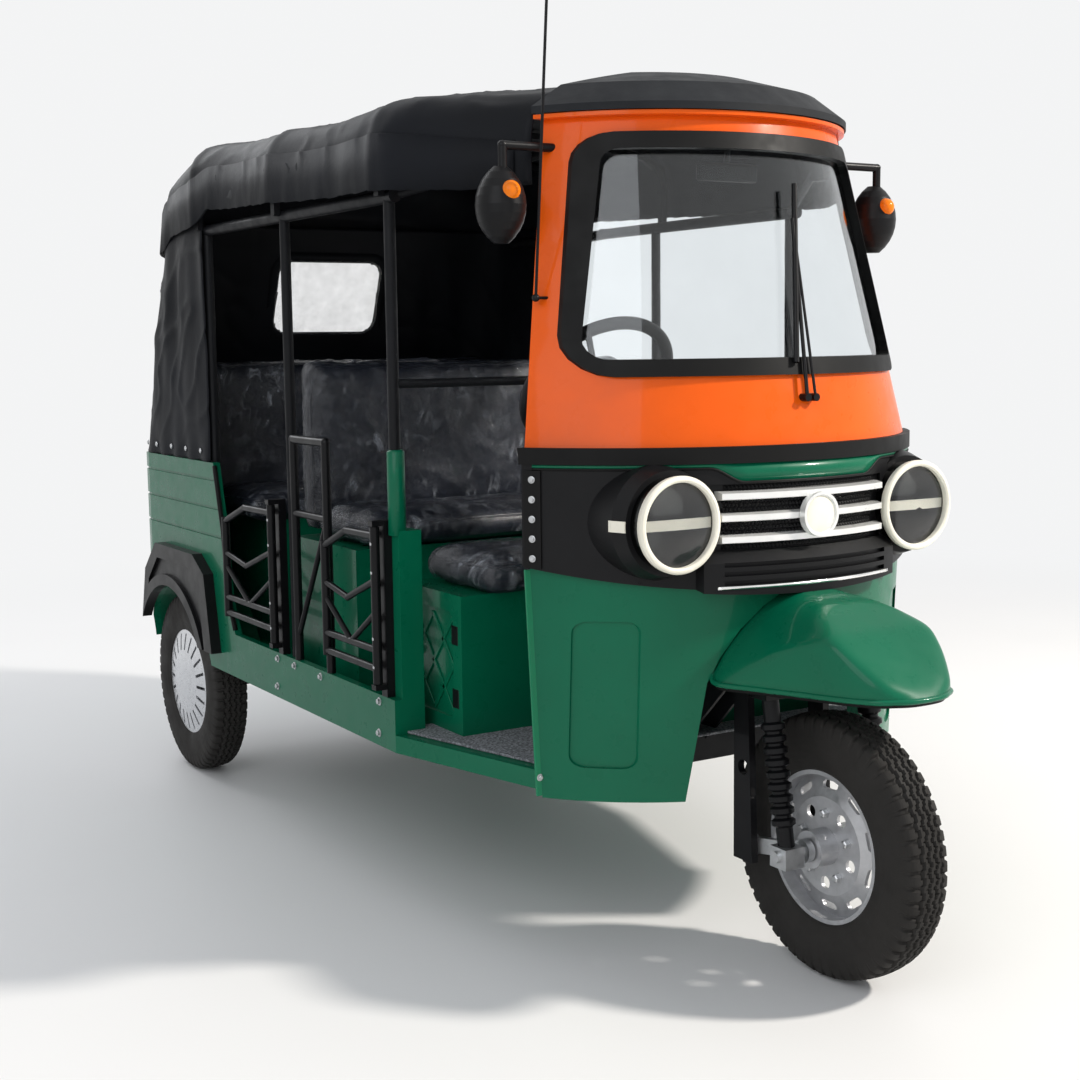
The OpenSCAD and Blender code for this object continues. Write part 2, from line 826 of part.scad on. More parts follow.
// Cup with a projector, a pilot lamp and a bar across
module headlamps() color("silver") at_axle() pair() at_lamp() {
    difference() {
        cylinder(r = lamp_r, h = lamp_depth);
        translate([0, 0, -past]) cylinder(r = lamp_r - lamp_wall, h = past + lamp_depth - lamp_wall);
    }
    floor_at = lamp_depth - lamp_wall;
    translate([0, -projector_rise, floor_at - projector_len]) cylinder(r = projector_r,
        h = projector_len + seat);
    translate([0, pilot_drop, floor_at - pilot_len]) cylinder(r = pilot_r, h = pilot_len + seat);
    box(-lamp_r + lamp_wall / 2, lamp_r - lamp_wall / 2, -lamp_bar_h / 2 + pilot_drop / 4,
        lamp_bar_h / 2 + pilot_drop / 4,
        floor_at - lamp_bar_len, floor_at + seat);
}

// Domed clear lens inside the lamp rim
module lamp_lenses() color("white") at_axle() pair() at_lamp() intersection() {
    r = lamp_r - lamp_wall;
    ball_r = (pow(r, 2) + pow(lens_bulge, 2)) / (lens_bulge * 2);
    translate([0, 0, lens_set + ball_r - lens_bulge]) sphere(r = ball_r, $fn = ring_fn);
    translate([0, 0, -past]) cylinder(r = r, h = past + lens_set + lens_t);
}

module trim_strip() color("black") at_axle() intersection() {
    ring(belt_r - wall, mask_r + trim_out, mask_top_z, trim_top_z);
    cab_sector();
}

function screen_half(z) = cab_r(z) * sin(screen_deg);
function screen_pts(inset) = rounded([
    [inset - screen_half(screen_low_z), screen_low_z + inset], [screen_half(screen_low_z) - inset,
        screen_low_z + inset],
    [screen_half(screen_top_z) - inset, screen_top_z - inset], [inset - screen_half(screen_top_z),
        screen_top_z - inset]],
    screen_corner_r - inset);

module screen_prism(inset) face_plate(screen_pts(inset), -far, cab_axis_y - past);

// Surround with the brow that carries the visor
module windscreen_frame() color("orange") at_axle() difference() {
    union() {
        intersection() {
            cone_shell(trim_top_z, surround_top_z, 0, wall);
            cab_sector();
        }
        intersection() {
            turned([[cab_r(surround_top_z) - seat, surround_top_z - brow_t * 2],
                [visor_r - brow_set, surround_top_z - visor_lip - brow_t], [visor_r - brow_set,
                    surround_top_z - visor_lip],
                [cab_r(surround_top_z) - seat, surround_top_z - visor_lip / 2]]);
            box(-far, far, -far, pillar_top_y, 0, far);
        }
    }
    screen_prism(0);
}

module windscreen_gasket() color("black") at_axle() difference() {
    intersection() {
        cone_shell(trim_top_z, surround_top_z, gasket_proud, gasket_depth);
        screen_prism(0);
    }
    screen_prism(gasket_w);
}

module windscreen_glass() color("lightblue") at_axle() intersection() {
    cone_shell(trim_top_z, surround_top_z, -glass_set, glass_set + glass_t);
    screen_prism(gasket_w);
}

// Point ahead of the windscreen, at x across and z up
function on_screen(x, z) = [x, ring_y(cab_r(z), x) - wiper_lift, z];

module wiper() color("black") at_axle() {
    z0 = trim_top_z + wiper_rise;
    z1 = z0 + wiper_arm;
    b0 = on_screen(-wiper_lean / 2, z0 + blade_low);
    b1 = on_screen(blade_swing, z0 + blade_low + blade_len);
    difference() {
        for (x = [0, wiper_split])
            rod(on_screen(x, z0) - [0, wiper_arm_r, 0], on_screen(x, z0) + [0, wiper_lift * 2, 0],
                wiper_hub_r - wiper_arm_r);
        cab_core();
    }
    rod(on_screen(0, z0), on_screen(wiper_lean, z1), wiper_arm_r);
    rod(on_screen(wiper_split, z0), on_screen(wiper_lean, z1), wiper_link_r);
    rod(b0, b1, blade_r);
}

module roof_visor() color("dimgray") at_axle() difference() {
    turned(concat([[cab_r(surround_top_z) - wall, surround_top_z], [cab_r(surround_top_z), surround_top_z]],
        moved(scaled(visor_shares, visor_r, visor_h), [0, surround_top_z]),
        moved(scaled(visor_inner_shares, visor_r, visor_h), [0, surround_top_z]),
        [[cab_r(surround_top_z) - wall, surround_top_z + visor_lip * 2]]));
    box(-far, far, pillar_top_y, far, 0, far);
}

// Mudguard form: crest line, plan and section laid over each other
module guard_solid(inset) {
    back = inset * guard_h / guard_clear;
    crest = [for (s = guard_crest_shares)
        [s[0] * guard_reach + (s[0] < 0 ? inset : back), guard_low_z + s[1] * guard_h - inset]];
    plan = [for (s = guard_plan_shares)
        [max(s[0] * guard_half_w - inset, 0), s[1] * guard_reach + (s[1] < 0 ? inset : back)]];
    sect = [for (p = guard_section(-inset)) [max(p[0], 0), p[1]]];
    intersection() {
        side_plate(crest, -far, far);
        plan_plate(concat(plan, flipped(plan)), 0, far);
        face_plate(concat(sect, flipped(sect)), -far, far);
    }
}

module mudguard() color("green") at_axle() difference() {
    guard_solid(0);
    guard_solid(guard_t);
    apron_skin(wall, apron_low_r);
    difference() {
        ring(0, mask_r + chin_out, 0, far);
        below_mask();
    }
}

module roof_frame() color("black") at_axle() {
    pair() {
        rod([post_x, post_front_y, seat_z], [post_x, post_front_y, rail_z], post_r);
        rod([post_x, post_mid_y, sill_top_z], [post_x, post_mid_y, rail_z], post_r);
        rod([post_x, post_back_y, waist_z], [post_x, post_back_y, rail_z], post_r);
        rod([post_x, post_front_y - rail_ahead, rail_z], [post_x, tail_y - rail_short, rail_z], top_rail_r);
        rod([header_x, header_y - header_t / 2, header_z + header_h / 2], [post_x, post_front_y, rail_z],
            header_r);
        side_plate([[pillar_at(header_z), header_z], [pillar_at(header_z + header_h), header_z + header_h],
            [header_y, header_z + header_h], [header_y, header_z]], header_x - header_t / 2,
                header_x + header_t / 2);
    }
    rod([-post_x, post_front_y, driver_rail_z], [post_x, post_front_y, driver_rail_z], driver_rail_r);
}

// Cross section of the canvas as [x, z], for a half width, hem height and crown height
function hood_half(w, hem, top) = concat([[w, hem]],
    [for (a = shoulder_degs) [w - shoulder_r + shoulder_r * cos(a),
        top - crown_rise - shoulder_r + shoulder_r * sin(a)]],
    [[(w - shoulder_r) / 2 + shoulder_r / 4, top - crown_rise / 3]], [[0, top]]);
function hood_path(w, hem, top) = let (h = hood_half(w, hem, top))
    concat(h, [for (i = [len(h) - 2:-1:0]) [-h[i][0], h[i][1]]]);
function top_y(i) = pillar_top_y + (top_end_y - pillar_top_y) * top_station_shares[i];
function top_w(i) = top_front_half_w + (top_half_w - top_front_half_w) * top_spread_shares[i];
function top_hem(i) = rail_z + hem_rise * top_hem_shares[i];
function top_crown(i) = crown_z - crown_drop * top_drop_shares[i];
function crown_at(y) = lookup(y, [for (i = [0:len(top_station_shares) - 1]) [top_y(i), top_crown(i)]]);
function top_half_at(y) = lookup(y, [for (i = [0:len(top_station_shares) - 1]) [top_y(i), top_w(i)]]);
function hood_ring(i) = [for (p = concat(hood_path(top_w(i), top_hem(i), top_crown(i)),
    reversed(hood_path(top_w(i) - top_t, top_hem(i), top_crown(i) - top_t)))) [p[0], top_y(i), p[1]]];

// Flat hoop under the canvas, on the outer side of the top rails
module hoop(y, gap) {
    w = bow_half_w;
    top = min(crown_at(y - bow_half), crown_at(y + bow_half)) - top_t;
    face_plate(concat(hood_path(w, rail_z - gap, top), reversed(hood_path(w - bow_t, rail_z - gap,
        top - bow_t))),
        y - bow_half - gap, y + bow_half + gap);
}

module roof_bows() color("black") at_axle() for (y = [post_front_y, post_mid_y, post_back_y]) hoop(y, 0);

// Lofted canvas: outer and inner path of each station, closed at the front and the back
module canopy() color("black") at_axle() {
    m = len(top_station_shares);
    rings = [for (i = [0:m - 1]) hood_ring(i)];
    n = len(rings[0]);
    last = (m - 1) * n;
    sides = [for (j = [0:m - 2], i = [0:n - 1])
        [j * n + i, (j + 1) * n + i, (j + 1) * n + (i + 1) % n, j * n + (i + 1) % n]];
    front = [for (i = [0:n / 2 - 2]) [i, i + 1, n - 2 - i, n - 1 - i]];
    back = [for (i = [0:n / 2 - 2]) [last + n - 1 - i, last + n - 2 - i, last + i + 1, last + i]];
    polyhedron([for (r = rings) each r], concat(sides, front, back), convexity = 6);
}

module rear_light(y0, y1) face_plate(oblong(-rear_win_half_w, rear_win_half_w, waist_z + rear_win_rise,
    waist_z + rear_win_rise + rear_win_h, rear_win_r), y0, y1);

// Leans its children forward about the tail's top edge
module leaned() translate([0, tail_y, waist_z]) rotate([curtain_deg, 0, 0]) translate([0, -tail_y,
    -waist_z]) children();

module rear_curtain() color("black") at_axle() difference() {
    intersection() {
        leaned() tub_wall(quarter_foot_y, waist_z, waist_z + curtain_rise * 2, 0, curtain_t);
        box(-far, far, curtain_front_y, far, waist_z, waist_z + curtain_rise);
    }
    leaned() rear_light(tail_y - past, far);
    hoop(post_back_y, rest_gap);
}

module rear_window() color("lightblue") at_axle() leaned() rear_light(tail_y - curtain_t,
    tail_y - curtain_t / 2);

module seat_boxes() color("green") at_axle() {
    difference() {
        box(-driver_box_half_w, driver_box_half_w, driver_y0 + box_inset, driver_y1, floor_z,
            driver_seat_z - cushion_t);
        pair() side_plate(oblong(driver_y0 + box_inset + door_in, driver_y1 - door_in, floor_z + door_in,
            driver_seat_z - cushion_t - door_in, door_in / 2), driver_box_half_w - door_d, far);
        for (i = [-rib_n:rib_n])
            box((i * 2 - 1) * rib_w / 2, (i * 2 - 1) * rib_w / 2 + rib_w / 2, 0,
                driver_y0 + box_inset + rib_d,
                floor_z + door_in, driver_seat_z - cushion_t - door_in);
    }
    box(-seat_half_w, seat_half_w, mid_y0 + box_inset, mid_y1 + back_t, floor_z, seat_z - cushion_t);
    box(rear_box_gap - seat_half_w, seat_half_w - rear_box_gap, rear_y0 + box_inset, rear_y1 + back_t,
        floor_z,
        seat_z - cushion_t);
}

// Upholstered pad with rounded long edges
module pad(half, y0, y1, z0, z1)
    side_plate(oblong(y0, y1, z0, z1, min(cushion_r, (y1 - y0) * pad_round_share)), -half, half);

module driver_cushion() color("gray") at_axle()
    pad(driver_half_w, driver_y0, driver_y1, driver_seat_z - cushion_t, driver_seat_z);
module driver_backrest() color("gray") at_axle() pad(driver_pad_half_w,
    post_front_y - driver_rail_r - rest_gap - driver_pad_t, post_front_y - driver_rail_r - rest_gap,
    driver_rail_z - driver_pad_drop, driver_rail_z - driver_pad_drop + driver_pad_h);
module mid_cushion() color("gray") at_axle() pad(seat_half_w, mid_y0, mid_y1, seat_z - cushion_t, seat_z);
module mid_backrest() color("gray") at_axle() pad(seat_half_w, mid_y1, mid_y1 + back_t,
    seat_z - cushion_t, back_top_z);
module rear_cushion() color("gray") at_axle() pad(seat_half_w, rear_y0, rear_y1, seat_z - cushion_t, seat_z);
module rear_backrest() color("gray") at_axle()
    pad(seat_half_w, rear_y1, rear_y1 + back_t, seat_z - cushion_t, back_top_z);

module at_wheel() translate([wheel_x, wheel_y, wheel_z]) rotate([-wheel_tilt, 0, 0]) children();
module column(r, z0, z1) at_wheel() translate([0, 0, z0]) cylinder(r = r, h = z1 - z0);

module dashboard() color("dimgray") at_axle() difference() {
    union() {
        intersection() {
            turned([[0, mask_top_z], [belt_r - wall, mask_top_z], [belt_r - wall, trim_top_z],
                [cab_r(trim_top_z) - wall, trim_top_z], [cab_r(trim_top_z + dash_h) - wall,
                    trim_top_z + dash_h],
                [0, trim_top_z + dash_h]]);
            cab_sector();
        }
        column(sleeve_r, -column_len, sleeve_len - column_len);
    }
    column(column_r + run_gap, -far, far);
}

// Spindle-shaped housing with a flat glass side
module mirror_housing() difference() {
    arc_r = (pow(mirror_half_h, 2) + pow(mirror_half_w, 2)) / (mirror_half_w * 2);
    tip = asin(mirror_half_h / arc_r);
    arc = [for (i = [1 - mirror_steps:mirror_steps - 1])
        [arc_r * cos(tip * i / mirror_steps) - arc_r + mirror_half_w, arc_r * sin(tip * i / mirror_steps)]];
    translate([mirror_x, mirror_y, mirror_z])
        rotate_extrude() polygon(concat([[0, arc[0][1]]], arc, [[0, -arc[0][1]]]));
    box(0, far, mirror_y + mirror_back, far, 0, far);
}

module mirrors() color("black") at_axle() difference() {
    arm_y = mirror_y + mirror_arm_set - mirror_half_w + mirror_back / 2;
    pair() {
        mirror_housing();
        bent_rod([[mirror_x, arm_y, mirror_z], [mirror_x, arm_y, mirror_z + mirror_arm_rise],
            [cab_r(mirror_z) - mirror_arm_in, arm_y, mirror_z + mirror_arm_rise]], mirror_arm_r);
    }
    cab_core();
}

module indicator_lenses() color("orange") at_axle() pair() difference() {
    translate([mirror_x, mirror_y - indicator_out, mirror_z + indicator_rise]) sphere(r = indicator_r);
    mirror_housing();
}

module antenna() color("silver") at_axle() difference() {
    z = belt_z + antenna_rise;
    y = pillar_y + antenna_set;
    x = -ring_x(cab_r(z), y) - antenna_out;
    union() {
        bent_rod([[x + antenna_out * 2, y, z], [x, y, z], [x, y - antenna_lean, z + antenna_len]], antenna_r);
        translate([x, y, z]) sphere(r = antenna_knob_r);
    }
    cab_core();
}

// Upright on the sill with two lugs and the pin that carries one gate
module hinge_upright(y) translate([0, y, 0]) {
    box(body_half_w - sill_t, body_half_w, -hinge_post_half, hinge_post_half, sill_top_z, gate_top_z + lug_t);
    translate([hinge_x, 0, gate_low_z - lug_t]) cylinder(r = gate_pin_r, h = gate_h + lug_t * 2);
    for (z = [gate_low_z - lug_t, gate_top_z])
        box(body_half_w - sill_t, hinge_x + gate_tube_r, -gate_tube_r, gate_tube_r, z, z + lug_t);
}

module guard_rails() color("black") at_axle() pair() {
    x = body_half_w - sill_t / 2;
    top = sill_top_z + guard_rise;
    bar = sill_top_z + guard_bar_rise;
    hinge_upright(front_hinge_y);
    hinge_upright(rear_hinge_y);
    bent_rod([[x, guard_y0, sill_top_z], [x, guard_y0, top], [x, guard_y1, top], [x, guard_y1,
        sill_top_z]], guard_tube_r);
    rod([x, guard_y0, bar], [x, guard_y1, bar], guard_bar_r);
    rod([x, guard_y0, bar], [x, guard_y1, sill_top_z + guard_foot], guard_brace_r);
}

// Half gate: two stiles, an arched top tube, a sagging second tube, a V brace and twin bottom rails
module gate(y, end) translate([hinge_x, y, gate_low_z]) difference() {
    top = gate_h - gate_tube_r * 2;
    low = gate_h * rail_up_share;
    two = gate_h * rail_two_share;
    union() {
        translate([0, 0, gate_gap]) cylinder(r = gate_tube_r, h = gate_h - gate_gap * 2);
        translate([0, end, low - gate_tube_r]) cylinder(r = gate_tube_r,
            h = gate_h * top_end_share - low + gate_tube_r * 2);
        rod([0, 0, low], [0, end, low], gate_rail_r);
        rod([0, 0, two], [0, end, two], gate_rail_r);
        bent_rod([[0, 0, top], [0, end * top_bend_share, top - gate_gap], [0, end,
            gate_h * top_end_share]], gate_rail_r);
        bent_rod([[0, 0, gate_h * mid_rail_shares[0]], [0, end * top_bend_share, gate_h * mid_rail_shares[1]],
            [0, end, gate_h * mid_rail_shares[2]]], gate_mid_rail_r);
        for (y = [0, end]) rod([0, y, gate_h * brace_share], [0, end / 2, two], gate_brace_r);
    }
    translate([0, 0, -past]) cylinder(r = gate_pin_r + run_gap, h = far);
}

module front_gate() gate(front_hinge_y, guard_y0 - gate_end_gap - front_hinge_y);
module rear_gate() gate(rear_hinge_y, quarter_foot_y - rear_hinge_y);
module gate_front_left() color("black") at_axle() front_gate();
module gate_front_right() color("black") at_axle() mirror([1, 0, 0]) front_gate();
module gate_rear_left() color("black") at_axle() rear_gate();
module gate_rear_right() color("black") at_axle() mirror([1, 0, 0]) rear_gate();

// Steering stem, tapered crown plate and two bracket plates for the links
module fork_frame() color("black") at_axle() {
    half = shock_x + shock_r;
    pivot = [link_back, tyre_r - link_drop];
    front = shock_top_y - shock_r;
    back = link_back + leg_half;
    rod([0, steer_y(fork_crown_z), fork_crown_z], [0, steer_y(head_top_z + stem_over),
        head_top_z + stem_over], stem_r);
    plan_plate([[-half, front], [half, front], [half, shock_top_y + shock_r], [leg_x + leg_t, back],
        [-leg_x - leg_t, back], [-half, shock_top_y + shock_r]], fork_crown_z, fork_crown_z + crown_t);
    pair() difference() {
        side_plate([pivot + [-leg_half, -leg_half], pivot + [leg_half, -leg_half], [back,
            fork_crown_z + seat],
            [link_back - leg_half / 2, fork_crown_z + seat]], leg_x, leg_x + leg_t);
        translate([0, link_back, (pivot[1] + fork_crown_z) / 2]) cross_cyl(0, far, leg_hole_r);
    }
}

// Front axle with a flat leading link, an eye and a spring block at each end
module front_links() color("silver") at_axle() {
    half = shock_x + block_half + axle_nut;
    run = [link_back, -link_drop];
    side = unit([link_drop, link_back]) * link_web_half;
    translate([0, 0, tyre_r]) {
        cross_cyl(-half, half, axle_r);
        pair() {
            side_plate([side, run + side, run - side, -side], leg_x - leg_t, leg_x);
            cross_cyl(leg_x - leg_t, leg_x, link_eye_r);
            translate([0, run[0], run[1]]) cross_cyl(leg_x - leg_t, leg_x, link_eye_r);
            box(shock_x - block_half, shock_x + block_half, -block_half, block_half, -block_half, block_h);
        }
    }
}

// Spring strut with turned coils, cut level at the block and the crown
module shock_absorbers() color("black") at_axle() pair() intersection() {
    foot = [shock_x, 0, tyre_r];
    head = [shock_x, shock_top_y, fork_crown_z + crown_t];
    len = norm(head - foot);
    pitch = len * (shock_coil_shares[1] - shock_coil_shares[0]) / shock_coils;
    start = len * shock_coil_shares[0];
    coils = [for (i = [0:shock_coils - 1]) each [[shock_core_r, start + i * pitch], [shock_r,
        start + (i + coil_edge_shares[0]) * pitch],
        [shock_r, start + (i + coil_edge_shares[1]) * pitch], [shock_core_r,
            start + (i + coil_edge_shares[2]) * pitch]]];
    along(foot, head) rotate_extrude() polygon(concat([[0, 0], [shock_core_r, 0]], coils, [[shock_core_r,
        len], [0, len]]));
    box(0, far, -far, far, tyre_r + block_h, fork_crown_z);
}

// Outer half of a rim section, from the inner edge of one flange to the other
function rim_bed(barrel) = [[barrel, -bead_half - flange_t], [rim_r + flange_h, -bead_half - flange_t],
    [rim_r + flange_h, -bead_half], [rim_r, -bead_half], [rim_r, bead_half], [rim_r + flange_h, bead_half],
    [rim_r + flange_h, bead_half + flange_t]];

// Dished steel disc with oval slots and round holes
module front_rim() color("silver") at_axle() translate([0, 0, tyre_r]) rotate([0, 90, 0]) difference() {
    barrel = rim_r - flange_t;
    bore = axle_r + run_gap;
    rotate_extrude($fn = ring_fn) polygon(concat([[bore, -hub_half], [hub_r, -hub_half], [hub_r,
        -dish_d - disc_t],
        [dish_r, -dish_d - disc_t], [barrel, -disc_t]], rim_bed(barrel), [[barrel, bead_half + flange_t],
            [barrel, 0],
        [dish_r, -dish_d], [hub_r, -dish_d], [hub_r, hub_half], [bore, hub_half]]));
    for (i = [1:rim_slots]) rotate([0, 0, i * 360 / rim_slots]) translate([slot_at_r, 0, -far / 2]) {
        translate([-slot_r, -slot_half, 0]) cube([slot_r * 2, slot_half * 2, far]);
        for (y = [-slot_half, slot_half]) translate([0, y, 0]) cylinder(r = slot_r, h = far);
    }
    for (i = [1:hole_n]) rotate([0, 0, i * 360 / hole_n]) translate([hole_at_r, 0,
        -far / 2]) cylinder(r = hole_r, h = far);
}

// Tyre section with square-shouldered tread and two running grooves
module tyre_solid() rotate([0, 90, 0]) rotate_extrude($fn = ring_fn) difference() {
    side_r = rim_r + (tyre_r - rim_r) * tyre_wall_share;
    half = [[rim_r, bead_half], [rim_r + flange_h + flange_t, bead_half], [side_r, tyre_w / 2],
        [tyre_r - tyre_shoulder, tyre_w / 2], [tyre_r - tyre_shoulder / 4, tyre_w / 2 - tyre_shoulder / 2],
        [tyre_r, tyre_w / 2 - tyre_shoulder]];
    polygon(concat(half, [for (p = reversed(half)) [p[0], -p[1]]]));
    for (s = [-1, 1]) translate([tyre_r - tyre_groove_d,
        s * tyre_w * groove_x_share - groove_w / 2]) square([past, groove_w]);
}

module front_tyre() color("black") at_axle() translate([0, 0, tyre_r]) tyre_solid();

module rear_axle() color("dimgray") at_axle() translate([0, wheelbase, tyre_r]) {
    stub = rear_face_x - tyre_w / 2 + rear_disc + rear_hub_half;
    beam = rear_face_x - tyre_w - drum_gap;
    cross_cyl(-beam, beam, beam_r);
    cross_cyl(-stub, stub, stub_r);
    cross_cyl(-drive_len / 2, drive_len / 2, drive_r);
    pair() cross_cyl(beam - seat, beam + drum_w, drum_r);
}

// Stack of leaves, shorter towards the axle
module leaf_springs() color("gray") at_axle() pair() for (i = [1:leaf_n])
    box(rail_x - spring_w / 2, rail_x + spring_w / 2, wheelbase - spring_half + leaf_step * (leaf_n - i),
        wheelbase + spring_half - leaf_step * (leaf_n - i), tyre_r + beam_r + leaf_t * (i - 1),
            tyre_r + beam_r + leaf_t * i);

// Rim with a domed, slotted wheel cover
module rear_rim(s) translate([0, wheelbase, tyre_r]) mirror([s, 0,
    0]) translate([rear_face_x - tyre_w / 2, 0, 0])
    rotate([0, 90, 0]) difference() {
        barrel = rim_r - flange_t;
        bore = stub_r + run_gap;
        edge = rim_r + flange_h;
        face = bead_half + flange_t;
        dome = [for (t = dome_shares) [edge * t, face + cover_rise * (1 - t * t)]];
        rotate_extrude($fn = ring_fn) polygon(concat([[bore, rear_disc - rear_hub_half], [hub_r,
            rear_disc - rear_hub_half],
            [hub_r, rear_disc - disc_t], [barrel, rear_disc - disc_t]], rim_bed(barrel), dome,
            [for (p = reversed(dome)) if (p[0] < barrel) p - [0, cover_t]], [[barrel, rear_disc], [hub_r,
                rear_disc],
            [hub_r, rear_disc + rear_hub_half], [bore, rear_disc + rear_hub_half]]));
        for (i = [1:cover_slots]) rotate([0, 0, i * 360 / cover_slots])
            translate([edge * cover_slot_shares[0], -cover_slot_w / 2, rear_disc + rear_hub_half / 2])
            cube([edge * (cover_slot_shares[1] - cover_slot_shares[0]), cover_slot_w, far]);
    }
module rear_rim_left() color("silver") at_axle() rear_rim(0);
module rear_rim_right() color("silver") at_axle() rear_rim(1);
module rear_tyre_left() color("black") at_axle()
    translate([rear_face_x - tyre_w / 2, wheelbase, tyre_r]) tyre_solid();
module rear_tyre_right() color("black") at_axle()
    translate([tyre_w / 2 - rear_face_x, wheelbase, tyre_r]) tyre_solid();

module steering_wheel() color("black") at_axle() {
    column(column_r, -column_len, 0);
    at_wheel() {
        rotate_extrude() translate([wheel_r, 0]) circle(r = wheel_grip_r);
        for (i = [1:wheel_spokes]) rotate([0, 90, i * 360 / wheel_spokes]) cylinder(r = wheel_spoke_r,
            h = wheel_r);
        cylinder(r = sleeve_r, h = wheel_grip_r);
    }
}

chassis_frame();
floor_pan();
sill_panels();
side_bulkheads();
quarter_panels();
tail_panel();
tail_lamps();
wheel_flares();
apron();
front_mask();
grille();
headlamps();
lamp_lenses();
trim_strip();
windscreen_frame();
windscreen_gasket();
windscreen_glass();
wiper();
roof_visor();
mudguard();
roof_frame();
roof_bows();
canopy();
rear_curtain();
rear_window();
seat_boxes();
driver_cushion();
driver_backrest();
mid_cushion();
mid_backrest();
rear_cushion();
rear_backrest();
dashboard();
mirrors();
indicator_lenses();
antenna();
guard_rails();
gate_front_right();
gate_front_left();
gate_rear_right();
gate_rear_left();
fork_frame();
front_links();
shock_absorbers();
front_rim();
front_tyre();
rear_axle();
leaf_springs();
rear_rim_right();
rear_rim_left();
rear_tyre_right();
rear_tyre_left();
steering_wheel();
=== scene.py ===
"""Dressed three-wheeled auto rickshaw: materials, canvas, seats, tyres and small trim over the CAD frame."""

import math

import bmesh
import bpy
from mathutils import Matrix, Vector, noise
from mathutils.bvhtree import BVHTree


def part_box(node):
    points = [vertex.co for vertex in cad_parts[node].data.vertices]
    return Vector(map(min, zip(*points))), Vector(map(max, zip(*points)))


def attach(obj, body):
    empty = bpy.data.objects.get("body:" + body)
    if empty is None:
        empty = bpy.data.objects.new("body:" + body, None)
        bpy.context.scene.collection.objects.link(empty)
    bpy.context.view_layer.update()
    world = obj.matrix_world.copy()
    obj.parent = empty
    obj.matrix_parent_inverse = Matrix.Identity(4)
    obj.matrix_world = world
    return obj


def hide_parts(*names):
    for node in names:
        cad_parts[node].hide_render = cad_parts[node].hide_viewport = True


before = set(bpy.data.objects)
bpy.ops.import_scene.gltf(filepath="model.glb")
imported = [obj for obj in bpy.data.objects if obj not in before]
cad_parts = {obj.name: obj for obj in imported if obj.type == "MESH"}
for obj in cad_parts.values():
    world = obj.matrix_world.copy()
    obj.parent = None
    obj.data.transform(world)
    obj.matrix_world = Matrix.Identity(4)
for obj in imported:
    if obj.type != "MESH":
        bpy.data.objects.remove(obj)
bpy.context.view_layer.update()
bpy.context.view_layer.update()


def box_of(node):
    """Low and high corner of a CAD node."""
    return tuple(Vector(p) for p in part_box(node))


# Places taken from the frame, in metres
TYRE_LOW, TYRE_HIGH = box_of("front_tyre")
AXLE_Y = (TYRE_LOW.y + TYRE_HIGH.y) / 2
TYRE_R = (TYRE_HIGH.z - TYRE_LOW.z) / 2
TYRE_W = TYRE_HIGH.x - TYRE_LOW.x
WAIST_Z = box_of("tail_panel")[1].z
BODY_HALF_W = box_of("quarter_panels")[1].x
TAIL_Y = box_of("tail_panel")[1].y
SILL_TOP_Z = box_of("sill_panels")[1].z
FLOOR_Z = box_of("seat_boxes")[0].z
PILLAR_Y = box_of("trim_strip")[1].y
TRIM_LOW_Z = box_of("trim_strip")[0].z

# Turned cab front: its upright axis, and the radius of the mask and of the chin below it
CAB_AXIS_Y = AXLE_Y + 0.700
MASK_R = 0.616
CHIN_R = 0.640

# Camera fitted to the photograph, as distances from the front axle's ground point
CAMERA_FROM_AXLE = (-2.130, -2.355, 1.282)
CAMERA_YAW = math.radians(31.4)
CAMERA_PITCH = math.radians(7.07)
CAMERA_ROLL = math.radians(-0.69)
FOCAL_PIXELS = 1593.8
FRAME_PIXELS = 1080
SENSOR_MM = 36.0


def make_camera():
    """Camera at the photograph's place and angle."""
    sight = Vector((math.sin(CAMERA_YAW) * math.cos(CAMERA_PITCH),
                    math.cos(CAMERA_YAW) * math.cos(CAMERA_PITCH), -math.sin(CAMERA_PITCH)))
    level = Vector((math.cos(CAMERA_YAW), -math.sin(CAMERA_YAW), 0.0))
    upright = level.cross(sight)
    right = level * math.cos(CAMERA_ROLL) + upright * math.sin(CAMERA_ROLL)
    up = upright * math.cos(CAMERA_ROLL) - level * math.sin(CAMERA_ROLL)
    data = bpy.data.cameras.new("camera")
    data.sensor_width = SENSOR_MM
    data.sensor_fit = "HORIZONTAL"
    data.lens = FOCAL_PIXELS / FRAME_PIXELS * SENSOR_MM
    data.dof.use_dof = False
    data.clip_end = 100
    camera = bpy.data.objects.new("camera", data)
    bpy.context.scene.collection.objects.link(camera)
    turn = Matrix((right, up, -sight)).transposed().to_4x4()
    place = Vector(CAMERA_FROM_AXLE) + Vector((0, AXLE_Y, 0))
    camera.matrix_world = Matrix.Translation(place) @ turn
    bpy.context.scene.camera = camera


make_camera()


# Materials

NOISE_LOW, NOISE_HIGH = 0.3, 0.7
WEAVE_SCALE = 190.0
PEBBLE_SCALE = 260.0
# Tilt, stretch and mask thresholds of the pale streaks painted on the seat wrap as highlights
HIGHLIGHT_STREAK_TILT = (0.55, 0.2, 0.0)
HIGHLIGHT_STREAK_DRAW = 8.0
HIGHLIGHT_STREAK_START, HIGHLIGHT_STREAK_END = 0.53, 0.75


def shader(name):
    """New node material with its principled shader."""
    mat = bpy.data.materials.new(name)
    mat.use_nodes = True
    return mat, mat.node_tree, mat.node_tree.nodes["Principled BSDF"]


def feed(tree, node, inputs):
    """Fills a node's inputs: a socket is linked, anything else is set as the value."""
    for key, value in inputs.items():
        if isinstance(value, bpy.types.NodeSocket):
            tree.links.new(value, node.inputs[key])
        else:
            node.inputs[key].default_value = value


def add_node(tree, kind, inputs=None, **settings):
    """New shader node with its settings and inputs."""
    node = tree.nodes.new("ShaderNode" + kind)
    for key, value in settings.items():
        setattr(node, key, value)
    feed(tree, node, inputs or {})
    return node


